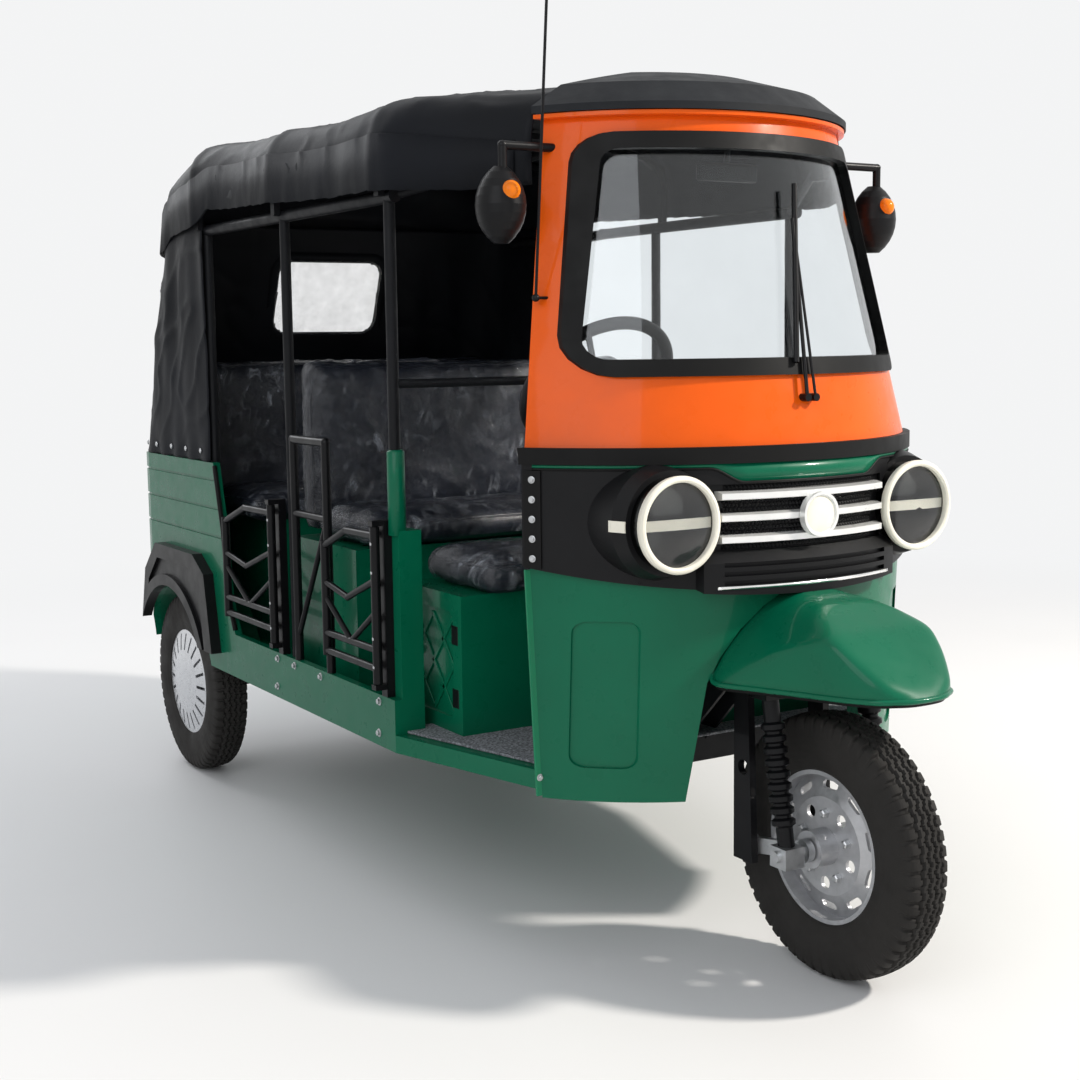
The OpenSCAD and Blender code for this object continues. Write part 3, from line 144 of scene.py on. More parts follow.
def object_place(tree):
    """Object coordinates."""
    return add_node(tree, "TexCoord").outputs["Object"]


def link_noise(tree, scale, detail=4.0, rough=0.55):
    """Noise over object coordinates; returns its factor output."""
    return add_node(tree, "TexNoise", {"Scale": scale, "Detail": detail, "Roughness": rough,
                                       "Vector": object_place(tree)}).outputs["Fac"]


def ramp(tree, fac, low, high, start=NOISE_LOW, end=NOISE_HIGH):
    """Colour ramp between two colours."""
    node = add_node(tree, "ValToRGB", {"Fac": fac})
    for element, place, colour in zip(node.color_ramp.elements, (start, end), (low, high)):
        element.position = place
        element.color = (*colour, 1)
    return node.outputs["Color"]


def spread(tree, fac, low, high, start=NOISE_LOW, end=NOISE_HIGH):
    """Maps a factor onto a range of values."""
    return add_node(tree, "MapRange", {"From Min": start, "From Max": end, "To Min": low, "To Max": high,
                                       "Value": fac}).outputs["Result"]


def add_bump(tree, bsdf, height, strength, distance):
    """Bump from a height output, laid over any bump already linked."""
    inputs = {"Strength": strength, "Distance": distance, "Height": height}
    socket = bsdf.inputs["Normal"]
    if socket.is_linked:
        inputs["Normal"] = socket.links[0].from_socket
    feed(tree, bsdf, {"Normal": add_node(tree, "Bump", inputs).outputs["Normal"]})


def tone(colour, share):
    """Colour made lighter or darker by a share."""
    return tuple(min(1.0, c * share) for c in colour)


def paint(name, colour, rough=0.30, coat=0.22):
    """Sprayed enamel: slight clouding and an orange-peel surface under a clear coat."""
    mat, tree, bsdf = shader(name)
    feed(tree, bsdf, {
        "Base Color": ramp(tree, link_noise(tree, 3.0, 5.0), tone(colour, 0.9), tone(colour, 1.1)),
        "Roughness": spread(tree, link_noise(tree, 24.0, 6.0), rough * 0.8, rough * 1.3),
        "Specular IOR Level": 0.1, "Coat Weight": coat, "Coat Roughness": 0.06})
    add_bump(tree, bsdf, link_noise(tree, 420.0, 2.0), 0.05, 0.0006)
    add_bump(tree, bsdf, link_noise(tree, 5.0, 2.0), 0.07, 0.004)
    return mat


def plastic(name, colour, rough=0.45, grain=260.0, depth=0.12, spec=0.16):
    """Moulded plastic with a fine grain."""
    mat, tree, bsdf = shader(name)
    feed(tree, bsdf, {
        "Base Color": ramp(tree, link_noise(tree, 6.0, 5.0), tone(colour, 0.85), tone(colour, 1.18)),
        "Roughness": spread(tree, link_noise(tree, 18.0, 5.0), rough * 0.85, rough * 1.2),
        "Specular IOR Level": spec})
    add_bump(tree, bsdf, link_noise(tree, grain, 3.0), depth, 0.0008)
    return mat


def metal(name, colour, rough=0.3, scale=60.0, metallic=1.0):
    """Bare, plated or silver-sprayed metal with uneven gloss."""
    mat, tree, bsdf = shader(name)
    grain = link_noise(tree, scale, 6.0, 0.6)
    feed(tree, bsdf, {
        "Base Color": ramp(tree, grain, tone(colour, 0.88), tone(colour, 1.08)),
        "Roughness": spread(tree, grain, rough * 0.7, rough * 1.35), "Metallic": metallic})
    add_bump(tree, bsdf, grain, 0.06, 0.0005)
    return mat


def canvas(name, colour):
    """Coated tarpaulin: woven threads, soft folds and a dusty bloom."""
    mat, tree, bsdf = shader(name)
    weave = 0.0
    for axis in "XYZ":
        wave = add_node(tree, "TexWave", {"Scale": WEAVE_SCALE, "Distortion": 0.6,
                                          "Vector": object_place(tree)}, bands_direction=axis)
        weave = add_node(tree, "Math", {0: weave, 1: wave.outputs["Fac"]}).outputs["Value"]
    dust = link_noise(tree, 2.2, 8.0, 0.62)
    feed(tree, bsdf, {
        "Base Color": ramp(tree, dust, tone(colour, 0.75), tone(colour, 1.6), 0.32, 0.74),
        "Roughness": spread(tree, dust, 0.46, 0.66), "Specular IOR Level": 0.12})
    add_bump(tree, bsdf, weave, 0.10, 0.0006)
    add_bump(tree, bsdf, link_noise(tree, 9.0, 5.0), 0.25, 0.006)
    return mat


def leather(name, colour):
    """Padded seat vinyl with a pebbled grain."""
    mat, tree, bsdf = shader(name)
    cells = add_node(tree, "TexVoronoi", {"Scale": PEBBLE_SCALE, "Vector": object_place(tree)})
    cloud = link_noise(tree, 5.0)
    feed(tree, bsdf, {
        "Base Color": ramp(tree, cloud, tone(colour, 0.7), tone(colour, 1.35)),
        "Roughness": spread(tree, cloud, 0.36, 0.5)})
    add_bump(tree, bsdf, cells.outputs["Distance"], 0.25, 0.0008)
    return mat


def glassy(name, colour):
    """Clear glass or lens with a trace of dust."""
    mat, tree, bsdf = shader(name)
    haze = link_noise(tree, 9.0, 6.0)
    feed(tree, bsdf, {
        "Base Color": ramp(tree, haze, tone(colour, 0.96), colour),
        "Roughness": spread(tree, haze, 0.010, 0.032), "Transmission Weight": 1.0, "IOR": 1.45})
    return mat


def film(name, colour, alpha, wrinkle, ior):
    """Thin crinkled plastic film, hazy and glossy."""
    mat, tree, bsdf = shader(name)
    haze = link_noise(tree, 14.0, 6.0, 0.6)
    feed(tree, bsdf, {
        "Base Color": ramp(tree, haze, tone(colour, 0.7), colour),
        "Roughness": spread(tree, haze, 0.06, 0.15),
        "Alpha": spread(tree, link_noise(tree, 22.0, 8.0, 0.65), alpha * 0.5, alpha * 1.5), "IOR": ior})
    add_bump(tree, bsdf, link_noise(tree, 60.0, 8.0, 0.7), wrinkle, 0.004)
    return mat


def add_painted_highlight_streaks(mat, scale, pale):
    """Painted highlights over a film: long soft pale streaks drawn along its folds, where light would catch
    them, raised a little.
    """
    tree = mat.node_tree
    bsdf = tree.nodes["Principled BSDF"]
    drawn = add_node(tree, "Mapping", {"Rotation": HIGHLIGHT_STREAK_TILT, "Scale": (1.0, 1.0, HIGHLIGHT_STREAK_DRAW),
                                       "Vector": object_place(tree)}, vector_type="TEXTURE")
    folds = add_node(tree, "TexNoise", {"Scale": scale, "Detail": 4.0, "Distortion": 1.1,
                                        "Vector": drawn.outputs["Vector"]})
    # Mask of the painted highlight streaks, broken up by a second noise
    highlight_streak_mask = add_node(tree, "Math", {
        0: spread(tree, folds.outputs["Fac"], 0.0, 1.0, HIGHLIGHT_STREAK_START, HIGHLIGHT_STREAK_END),
        1: spread(tree, link_noise(tree, 6.0), -0.2, 1.3)},
        operation="MULTIPLY", use_clamp=True).outputs["Value"]
    mix = add_node(tree, "Mix", {"Factor": highlight_streak_mask, 6: bsdf.inputs["Base Color"].links[0].from_socket,
                                 7: (*pale, 1)}, data_type="RGBA")
    feed(tree, bsdf, {"Base Color": mix.outputs[2]})
    add_bump(tree, bsdf, highlight_streak_mask, 0.8, 0.006)


def speckle(name, dark, pale):
    """Felted mat with pale flecks."""
    mat, tree, bsdf = shader(name)
    flecks = link_noise(tree, 170.0, 3.0, 0.7)
    feed(tree, bsdf, {"Base Color": ramp(tree, flecks, dark, pale, 0.42, 0.62), "Roughness": 0.9,
                      "Specular IOR Level": 0.2})
    add_bump(tree, bsdf, flecks, 0.5, 0.002)
    return mat


GREEN = paint("green_enamel", (0.0012, 0.118, 0.058))
# Lighter copy of the green enamel: painted light on the turned-out flanges
LIT_FLANGE_GREEN = paint("green_flange_painted_light", (0.004, 0.19, 0.085))
# Darker copy of the green enamel on the floor pan: painted shade inside the body
SHADED_GREEN = paint("green_inside_painted_shade", (0.0012, 0.095, 0.046), rough=0.4, coat=0.15)
ORANGE = paint("orange_enamel", (0.80, 0.105, 0.004))
BLACK_PAINT = paint("black_enamel", (0.005, 0.005, 0.0058), rough=0.35, coat=0.14)
FRAME_PAINT = paint("frame_paint", (0.009, 0.0095, 0.011), rough=0.5, coat=0.05)
BLACK_PLASTIC = plastic("black_moulding", (0.0065, 0.0065, 0.0072), rough=0.36)
GREY_PLASTIC = plastic("grey_moulding", (0.013, 0.0145, 0.017), rough=0.55, grain=180.0, depth=0.25)
DASH_PLASTIC = plastic("dash_moulding", (0.09, 0.10, 0.11), rough=0.5)
RUBBER = plastic("seal_rubber", (0.0065, 0.0065, 0.0065), rough=0.48, grain=400.0, depth=0.1, spec=0.12)
TYRE_RUBBER = plastic("tyre_rubber", (0.022, 0.0205, 0.019), rough=0.72, grain=340.0, depth=0.3, spec=0.2)
CANVAS = canvas("black_canvas", (0.0052, 0.0060, 0.0082))
SEAT_VINYL = leather("seat_vinyl", (0.008, 0.010, 0.017))
GLASS = glassy("screen_glass", (0.84, 0.885, 0.905))
LENS = glassy("lamp_glass", (0.97, 0.98, 0.98))
VINYL_WINDOW = film("window_vinyl", (0.92, 0.93, 0.93), 0.12, wrinkle=0.15, ior=2.2)
WRAP = film("seat_wrap", (0.030, 0.035, 0.048), 0.6, wrinkle=0.9, ior=1.62)
# Pale streaks painted on the seat wrap as highlights along its folds
add_painted_highlight_streaks(WRAP, 26.0, (0.42, 0.45, 0.50))
CHROME = metal("chrome_plate", (0.88, 0.88, 0.87), rough=0.14, scale=20.0)
SMOKED = metal("lamp_bowl", (0.045, 0.047, 0.046), rough=0.2, scale=30.0)
BAR_SILVER = metal("silver_bar", (0.86, 0.86, 0.84), scale=6.0, metallic=0.55)
RIM_PAINT = metal("silver_rim", (0.46, 0.465, 0.48), rough=0.40, metallic=0.65)
COVER_SILVER = metal("silver_cover", (0.66, 0.67, 0.69), metallic=0.85)
STEEL = metal("zinc_steel", (0.50, 0.51, 0.52), rough=0.36)
PALE = plastic("pale_moulding", (0.80, 0.77, 0.66), rough=0.3, grain=120.0, depth=0.05)
AMBER = plastic("amber_lens", (0.85, 0.20, 0.01), rough=0.16, grain=90.0, depth=0.1)
RED = plastic("red_lens", (0.42, 0.010, 0.010), rough=0.18, grain=90.0, depth=0.1)
MAT_GREY = speckle("mat_grey", (0.10, 0.105, 0.115), (0.34, 0.35, 0.37))
MAT_DARK = speckle("mat_dark", (0.018, 0.019, 0.021), (0.06, 0.062, 0.068))

NODE_LOOKS = (
    (GREEN, "sill_panels side_bulkheads quarter_panels tail_panel apron mudguard seat_boxes"),
    (SHADED_GREEN, "floor_pan"),
    (ORANGE, "windscreen_frame"),
    (FRAME_PAINT, "chassis_frame roof_frame roof_bows rear_axle leaf_springs"),
    (BLACK_PAINT, "wiper antenna guard_rails fork_frame shock_absorbers"),
    (BLACK_PAINT, "gate_front_right gate_front_left gate_rear_right gate_rear_left"),
    (BLACK_PLASTIC, "wheel_flares front_mask mirrors steering_wheel"),
    (GREY_PLASTIC, "roof_visor"),
    (DASH_PLASTIC, "dashboard"),
    (RUBBER, "trim_strip windscreen_gasket"),
    (GLASS, "windscreen_glass"),
    (LENS, "lamp_lenses"),
    (VINYL_WINDOW, "rear_window"),
    (BAR_SILVER, "grille"),
    (SMOKED, "headlamps"),
    (AMBER, "indicator_lenses"),
    (RED, "tail_lamps"),
    (STEEL, "front_links"),
    (RIM_PAINT, "front_rim"),
    (COVER_SILVER, "rear_rim_right rear_rim_left"),
)


def dress_nodes():
    """Gives every shown CAD node its material."""
    for mat, nodes in NODE_LOOKS:
        for node in nodes.split():
            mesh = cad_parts[node].data
            mesh.materials.clear()
            mesh.materials.append(mat)


dress_nodes()


# Mesh helpers

POINT_R = 1e-5
MERGE = 1e-6


def piece(name, bm, mat, body="body", smooth=True):
    """Turns a bmesh into a piece that rides on a body."""
    mesh = bpy.data.meshes.new(name)
    bmesh.ops.recalc_face_normals(bm, faces=bm.faces)
    bm.to_mesh(mesh)
    bm.free()
    if smooth:
        mesh.polygons.foreach_set("use_smooth", [True] * len(mesh.polygons))
    mesh.materials.append(mat)
    obj = bpy.data.objects.new(name, mesh)
    bpy.context.scene.collection.objects.link(obj)
    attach(obj, body)
    return obj


def bake(obj):
    """Bakes an object's modifiers into its mesh."""
    graph = bpy.context.evaluated_depsgraph_get()
    mesh = bpy.data.meshes.new_from_object(obj.evaluated_get(graph))
    obj.modifiers.clear()
    obj.data = mesh


def thicken(obj, thickness, offset=-1.0):
    """Gives a single-layer piece a thickness."""
    solid = obj.modifiers.new("thickness", "SOLIDIFY")
    solid.thickness = thickness
    solid.offset = offset
    bake(obj)


def round_edges(obj, width):
    """Rounds the sharp edges of a piece."""
    bevel = obj.modifiers.new("edges", "BEVEL")
    bevel.width = width
    bevel.segments = 2
    bevel.limit_method = "ANGLE"
    bake(obj)


def grid(bm, rows, closed=False):
    """Faces between rows of points; closed joins the last point of a row to its first."""
    verts = [[bm.verts.new(p) for p in row] for row in rows]
    n = len(verts[0])
    for a, b in zip(verts, verts[1:]):
        for i in range(n if closed else n - 1):
            j = (i + 1) % n
            bm.faces.new((a[i], a[j], b[j], b[i]))
    return verts


def around(place, side, other, r, sides):
    """Points round a circle in the plane of two directions."""
    turns = (2 * math.pi * k / sides for k in range(sides))
    return [place + (side * math.cos(t) + other * math.sin(t)) * r for t in turns]


def cap(bm, verts):
    """Closes the first and last row of a run of closed rows."""
    bm.faces.new(verts[0])
    bm.faces.new(reversed(verts[-1]))


def tube(bm, path, radius, sides=10, closed=False):
    """Round tube along a path, capped at its ends unless closed."""
    n = len(path)
    rows, last = [], None
    for i, p in enumerate(path):
        a = path[(i - 1) % n] if closed or i else p
        b = path[(i + 1) % n] if closed or i < n - 1 else p
        way = (b - a).normalized()
        side = last - way * last.dot(way) if last else way.orthogonal()
        side.normalize()
        last = side
        rows.append(around(p, side, way.cross(side), radius, sides))
    if closed:
        rows.append(rows[0])
    verts = grid(bm, rows, closed=True)
    if closed:
        bmesh.ops.remove_doubles(bm, verts=[v for row in verts for v in row], dist=MERGE)
    else:
        cap(bm, verts)


def turned(bm, place, axis, profile, sides=24):
    """Body of revolution: profile of (along, radius) from a place along an axis."""
    axis = axis.normalized()
    side = axis.orthogonal().normalized()
    other = axis.cross(side)
    rows = [around(place + axis * along, side, other, max(r, POINT_R), sides) for along, r in profile]
    cap(bm, grid(bm, rows, closed=True))


def plate(bm, outline, push):
    """Flat plate from an outline of points, pushed out along a vector."""
    low = [bm.verts.new(p) for p in outline]
    high = [bm.verts.new(p + push) for p in outline]
    n = len(outline)
    bm.faces.new(low)
    bm.faces.new(reversed(high))
    for i in range(n):
        j = (i + 1) % n
        bm.faces.new((low[i], low[j], high[j], high[i]))


def bolt(bm, place, axis, size):
    """Washer under a hexagon head with a rounded top."""
    turned(bm, place, axis, ((0, size * 1.5), (size * 0.25, size * 1.5), (size * 0.3, size * 1.3)), 16)
    turned(bm, place, axis, ((size * 0.3, size), (size * 1.0, size), (size * 1.15, size * 0.8)), 6)


def rivet(bm, place, axis, size):
    """Domed head."""
    turned(bm, place, axis, ((0, size), (size * 0.35, size * 0.92), (size * 0.6, size * 0.6),
                             (size * 0.7, 0.0)), 12)


def rounded_outline(x0, x1, z0, z1, r, steps=6):
    """Points (x, z) round a rectangle with rounded corners."""
    out = []
    corners = ((x1 - r, z1 - r, 0), (x0 + r, z1 - r, 90), (x0 + r, z0 + r, 180), (x1 - r, z0 + r, 270))
    for cx, cz, start in corners:
        for k in range(steps + 1):
            a = math.radians(start + 90 * k / steps)
            out.append((cx + r * math.cos(a), cz + r * math.sin(a)))
    return out


def shell_of(node):
    """Ray tree of a CAD node."""
    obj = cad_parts[node]
    points = [obj.matrix_world @ v.co for v in obj.data.vertices]
    return BVHTree.FromPolygons(points, [p.vertices[:] for p in obj.data.polygons])


def on_ring(degrees, r, z):
    """Point on a ring about the cab axis, at an angle from straight ahead."""
    a = math.radians(degrees)
    return Vector((r * math.sin(a), CAB_AXIS_Y - r * math.cos(a), z))


# Canvas top and tail curtain, laid over the CAD cloth forms

CENTRE_Z = 1.50
RAY = 1.3
RAY_STEP_DEG = 0.25
HOOP_GAP = 0.1
TOP_ROWS = 130
TOP_COLUMNS = 120
TOP_LOW, TOP_HIGH = box_of("canopy")
CLOTH_T = 0.003
TAIL_SLOPE = 0.389
VALANCE_Z = 1.595
VALANCE_MIN = 0.02
VALANCE_ROWS = 8
END_ROWS = 8
TOP_RIDGE, TOP_SAG, TOP_PULL, TOP_CREASE, HEM_WAVE = 0.005, 0.013, 0.0045, 0.004, 0.006
CURTAIN_FOLD, CURTAIN_CREASE, FOOT_WAVE = 0.010, 0.006, 0.004
SLACK_WIDTH = 0.16
RIDGE_WIDTH = 0.022
HEM_SHARE = 0.14
HEM_COLUMNS = 9
HEM_OUT, HEM_DROP, HEM_T = 0.0035, 0.004, 0.002
STUD_R = 0.008
WINDOW_R = 0.045
WINDOW_REACH = 0.42
WINDOW_SIDE = 0.45
CALM_REACH = 0.12


def resample(points, count):
    """Points at even steps along a path."""
    runs = [0.0]
    for a, b in zip(points, points[1:]):
        runs.append(runs[-1] + (b - a).length)
    out, k = [], 0
    for i in range(count):
        s = runs[-1] * i / (count - 1)
        while k < len(runs) - 2 and runs[k + 1] < s:
            k += 1
        t = (s - runs[k]) / max(runs[k + 1] - runs[k], 1e-9)
        out.append(points[k].lerp(points[k + 1], min(max(t, 0.0), 1.0)))
    return out


def relax(rows, passes):
    """Softens a grid of points, keeping its four edges."""
    for _ in range(passes):
        rows = [[p if i in (0, len(rows) - 1) or k in (0, len(row) - 1) else
                 p * 0.4 + (row[k - 1] + row[k + 1]) * 0.15 + (rows[i - 1][k] + rows[i + 1][k]) * 0.15
                 for k, p in enumerate(row)] for i, row in enumerate(rows)]
    return rows


def path_length(points):
    """Length along a path."""
    return sum((b - a).length for a, b in zip(points, points[1:]))


def flat_size(rows):
    """Greatest width, greatest length and area of a grid of points."""
    width = max(path_length(row) for row in rows)
    length = max(path_length([row[k] for row in rows]) for k in range(0, len(rows[0]), 4))
    bm = bmesh.new()
    grid(bm, rows)
    area = sum(f.calc_area() for f in bm.faces)
    bm.free()
    return width, length, area


def hoop_places():
    """Middles of the hoops along the body."""
    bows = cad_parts["roof_bows"]
    ys = sorted((bows.matrix_world @ v.co).y for v in bows.data.vertices)
    groups = [[ys[0]]]
    for y in ys[1:]:
        if y - groups[-1][-1] > HOOP_GAP:
            groups.append([])
        groups[-1].append(y)
    return [(g[0] + g[-1]) / 2 for g in groups]


HOOP_YS = hoop_places()


def hoop_press(y, width):
    """One over a hoop, falling to nothing away from it."""
    return max(math.exp(-((y - hoop) / width) ** 2) for hoop in HOOP_YS)


def met_from_outside(tree, middle, ways):
    """Points of a shell met along each way in towards a middle."""
    hits = (tree.ray_cast(middle + way * RAY, -way, RAY)[0] for way in ways)
    return [hit for hit in hits if hit]


def top_row(tree, y):
    """Outer face of the top across one station, from the right hem to the left hem."""
    turns = (math.radians(180 - i * RAY_STEP_DEG) for i in range(721))
    ways = (Vector((math.cos(a), 0, math.sin(a))) for a in turns)
    return resample(met_from_outside(tree, Vector((0, y, CENTRE_Z)), ways), TOP_COLUMNS + 1)


def tail_drop(p, share):
    """Point of the valance that hangs from the rear edge over the top of the tail curtain."""
    z = min(p.z - VALANCE_MIN, VALANCE_Z)
    y = max(p.y - 0.004, TAIL_Y - (z - WAIST_Z) * TAIL_SLOPE + 0.012)
    return p.lerp(Vector((p.x, y, z)), share)


def make_hem(shaped):
    """Doubled strip along both side edges of the top."""
    bm = bmesh.new()
    kept = shaped[2:TOP_ROWS - 1]
    for end, inner in ((0, HEM_COLUMNS), (-1, -1 - HEM_COLUMNS)):
        strip = []
        for row in kept:
            a, b = row[end], row[inner]
            out = Vector((math.copysign(HEM_OUT, a.x), 0, 0))
            strip.append([a + out - Vector((0, 0, HEM_DROP)), a.lerp(b, 0.5) + out, b + out, b])
        grid(bm, strip)
    hem = piece("canopy_hem", bm, CANVAS)
    thicken(hem, HEM_T, 1.0)
    return hem


def make_canopy():
    """One continuous canvas sheet, tight over the hoops and slack between them, with a sewn hem."""
    tree = shell_of("canopy")
    margin = 0.001
    run = TOP_HIGH.y - TOP_LOW.y - margin * 2
    rows = relax([top_row(tree, TOP_LOW.y + margin + run * i / TOP_ROWS) for i in range(TOP_ROWS + 1)], 10)
    shaped = []
    for i, row in enumerate(rows):
        y = row[0].y
        ends = min(1.0, i / END_ROWS, (TOP_ROWS - i) / END_ROWS)
        slack = (1 - hoop_press(y, SLACK_WIDTH)) * ends
        ridge = hoop_press(y, RIDGE_WIDTH) * ends
        new = []
        for k, p in enumerate(row):
            u = k / TOP_COLUMNS
            out = Vector((p.x, 0, p.z - CENTRE_Z)).normalized()
            low = max(0.0, 1 - min(u, 1 - u) / HEM_SHARE)
            pull = noise.noise(Vector((y * 2.6, u * 34, 1.7)))
            crease = (1 - abs(noise.noise(Vector((y * 6 + u * 9, u * 15 - y * 3, 4.2))))) ** 8
            wave = noise.noise(Vector((y * 11, u * 3, 8.1)))
            move = ridge * TOP_RIDGE - slack * TOP_SAG + pull * TOP_PULL * slack + crease * TOP_CREASE * ends
            move += wave * HEM_WAVE * low * ends
            new.append(p + out * move)
        shaped.append(new)
    edge = shaped[-1]
    shaped += [[tail_drop(p, j / VALANCE_ROWS) for p in edge] for j in range(1, VALANCE_ROWS + 1)]
    width, length, area = flat_size(shaped)
    bm = bmesh.new()
    grid(bm, shaped)
    top = piece("canopy_cloth", bm, CANVAS)
    thicken(top, CLOTH_T)
    hem_piece = make_hem(shaped)
    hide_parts("canopy")


def window_gap(p, low, high):
    """Distance outside a rounded window, negative within it."""
    dx = abs(p.x - (low.x + high.x) / 2) - (high.x - low.x) / 2 + WINDOW_R
    dz = abs(p.z - (low.z + high.z) / 2) - (high.z - low.z) / 2 + WINDOW_R
    return math.hypot(max(dx, 0), max(dz, 0)) + min(max(dx, dz), 0) - WINDOW_R


def curtain_row(tree, z, back_y, count):
    """Outer face of the curtain round the tail at one height, from right to left."""
    turns = (math.radians(210 - i * RAY_STEP_DEG) for i in range(961))
    ways = (Vector((math.cos(a), math.sin(a), 0)) for a in turns)
    return resample(met_from_outside(tree, Vector((0, back_y, z)), ways), count)


def make_welt(low, high):
    """Flat welt round the rear window, leaning with it."""

    def on_curtain(x, z, out):
        t = (z - low.z) / (high.z - low.z)
        return Vector((x, high.y + (low.y - high.y) * t + out, z))

    bm = bmesh.new()
    inner, outer = (rounded_outline(low.x + inset, high.x - inset, low.z + inset, high.z - inset, r, 8)
                    for inset, r in ((0.006, 0.040), (-0.024, 0.066)))
    ring = [[on_curtain(*a, 0.002), on_curtain(*a, 0.006), on_curtain(*b, 0.0065), on_curtain(*b, 0.001)]
            for a, b in zip(inner, outer)]
    grid(bm, ring + ring[:1], closed=True)
    bmesh.ops.remove_doubles(bm, verts=bm.verts, dist=MERGE)
    return piece("curtain_welt", bm, CANVAS)


def make_studs(foot):
    """Studs along the foot of the curtain."""
    bm = bmesh.new()
    for k in range(6, len(foot), 12):
        way = (foot[min(k + 1, len(foot) - 1)] - foot[k - 1]).normalized()
        out = Vector((-way.y, way.x, 0))
        rivet(bm, foot[k] + out * 0.001 + Vector((0, 0, STUD_R)), out, STUD_R)
    return piece("curtain_studs", bm, STEEL)


def make_curtain():
    """Tail curtain: one sheet round the tail with a window opening, a window welt and studs at the foot."""
    low, high = box_of("rear_curtain")
    win_low, win_high = box_of("rear_window")
    tree = shell_of("rear_curtain")
    count, levels = 220, 70
    rows = [curtain_row(tree, low.z + 0.002 + (high.z - low.z - 0.004) * i / levels, TAIL_Y - 0.45, count)
            for i in range(levels + 1)]
    rows = relax(rows, 6)
    shaped = []
    for i, row in enumerate(rows):
        rise = i / levels
        new = []
        for k, p in enumerate(row):
            a, b = row[max(k - 1, 0)], row[min(k + 1, count - 1)]
            way = (b - a).normalized()
            out = Vector((-way.y, way.x, 0))
            u = k / (count - 1)
            free = math.sin(math.pi * rise) ** 0.6
            near = 1.0
            if p.y > TAIL_Y - WINDOW_REACH and abs(p.x) < WINDOW_SIDE:
                near = window_gap(p, win_low, win_high)
            calm = min(1.0, max(near, 0.0) / CALM_REACH)
            fold = noise.noise(Vector((u * 30, rise * 1.6, 2.2))) * CURTAIN_FOLD
            line = noise.noise(Vector((u * 16 + rise * 3, rise * 5, 6.4)))
            crease = (1 - abs(line)) ** 8 * CURTAIN_CREASE
            foot = math.sin(u * math.pi * 2 * 20) * FOOT_WAVE * max(0.0, 1 - rise / 0.12)
            new.append(p + out * ((fold + crease) * free * calm + foot))
        shaped.append(new)
    width, length, area = flat_size(shaped)
    bm = bmesh.new()
    grid(bm, shaped)
    middles = [(f, f.calc_center_median()) for f in bm.faces]
    gone = [f for f, p in middles
            if p.y > TAIL_Y - WINDOW_REACH and window_gap(p, win_low, win_high) < -0.004]
    area -= sum(f.calc_area() for f in gone)
    bmesh.ops.delete(bm, geom=gone, context="FACES")
    cloth = piece("curtain_cloth", bm, CANVAS)
    thicken(cloth, CLOTH_T)
    welt_piece = make_welt(win_low, win_high)
    stud_piece = make_studs(shaped[2])
    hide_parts("rear_curtain")


make_canopy()
make_curtain()


# Seats: puffed pads with piping under crinkled clear wrap

PAD_VOXEL = 0.013
WRAP_VOXEL = 0.0085
PAD_INSET = 0.010
PAD_R = 0.030
PIPING_R = 0.0045
PIPING_CORNER_R = 0.05
PUFF_FRAMES = 20
FILM_STAND = 0.0025
FILM_CREASE = 0.013


def puff(obj, cap):
    """Blows a pad up a little with cloth pressure and holds the movement to a cap."""
    before = [v.co.copy() for v in obj.data.vertices]
    cloth = obj.modifiers.new("puff", "CLOTH")
    cloth.settings.use_pressure = True
    cloth.settings.uniform_pressure_force = 4.0
    cloth.settings.mass = 0.3
    cloth.settings.effector_weights.gravity = 0.0
    cloth.point_cache.frame_start = 1
    cloth.point_cache.frame_end = PUFF_FRAMES
    scene = bpy.context.scene
    for step in range(1, PUFF_FRAMES + 1):
        scene.frame_set(step)
    bake(obj)
    scene.frame_set(1)
    for v, old in zip(obj.data.vertices, before):
        move = v.co - old
        if move.length > cap:
            v.co = old + move * (cap / move.length)


def rounded_box(low, high, r):
    """Box with rounded edges as a bmesh."""
    bm = bmesh.new()
    bmesh.ops.create_cube(bm, size=1.0)
    for v in bm.verts:
        v.co = Vector(((low[i] + high[i]) / 2 + v.co[i] * (high[i] - low[i]) for i in range(3)))
    bmesh.ops.bevel(bm, geom=bm.edges[:], offset=r, segments=4, profile=0.5, affect="EDGES")
    return bm


def voxel(obj, size):
    """Even remesh."""
    remesh = obj.modifiers.new("voxel", "REMESH")
    remesh.mode = "VOXEL"
    remesh.voxel_size = size
    bake(obj)
    obj.data.polygons.foreach_set("use_smooth", [True] * len(obj.data.polygons))


def piping(name, pad, low, high, face):
    """Sewn cord round the edge of a pad's broad face, laid on its skin."""
    points = [v.co for v in pad.data.vertices]
    tree = BVHTree.FromPolygons(points, [p.vertices[:] for p in pad.data.polygons])
    if face == "top":
        flat = rounded_outline(low.x, high.x, low.y, high.y, PIPING_CORNER_R, 8)
        ring = [Vector((x, y, high.z)) for x, y in flat]
    else:
        flat = rounded_outline(low.x, high.x, low.z, high.z, PIPING_CORNER_R, 8)
        ring = [Vector((x, low.y, z)) for x, z in flat]
    path = resample(ring + [ring[0]], 161)[:-1]
    path = [tree.find_nearest(p)[0] for p in path]
    bm = bmesh.new()
    tube(bm, path, PIPING_R, 8, closed=True)
    piece(name, bm, SEAT_VINYL)


def crumple(p, seed):
    """Height of film creases at a point, from 0 to about 1."""
    total = 0.0
    run = Vector((p.x + p.z * 0.25, p.y, p.z * 0.6 - p.x * 0.1))
    for scale, share in ((8.5, 0.52), (18.0, 0.30), (38.0, 0.18)):
        total += share * (1 - abs(noise.noise(run * scale + Vector((seed, seed * 2, 0))))) ** 5
    return total


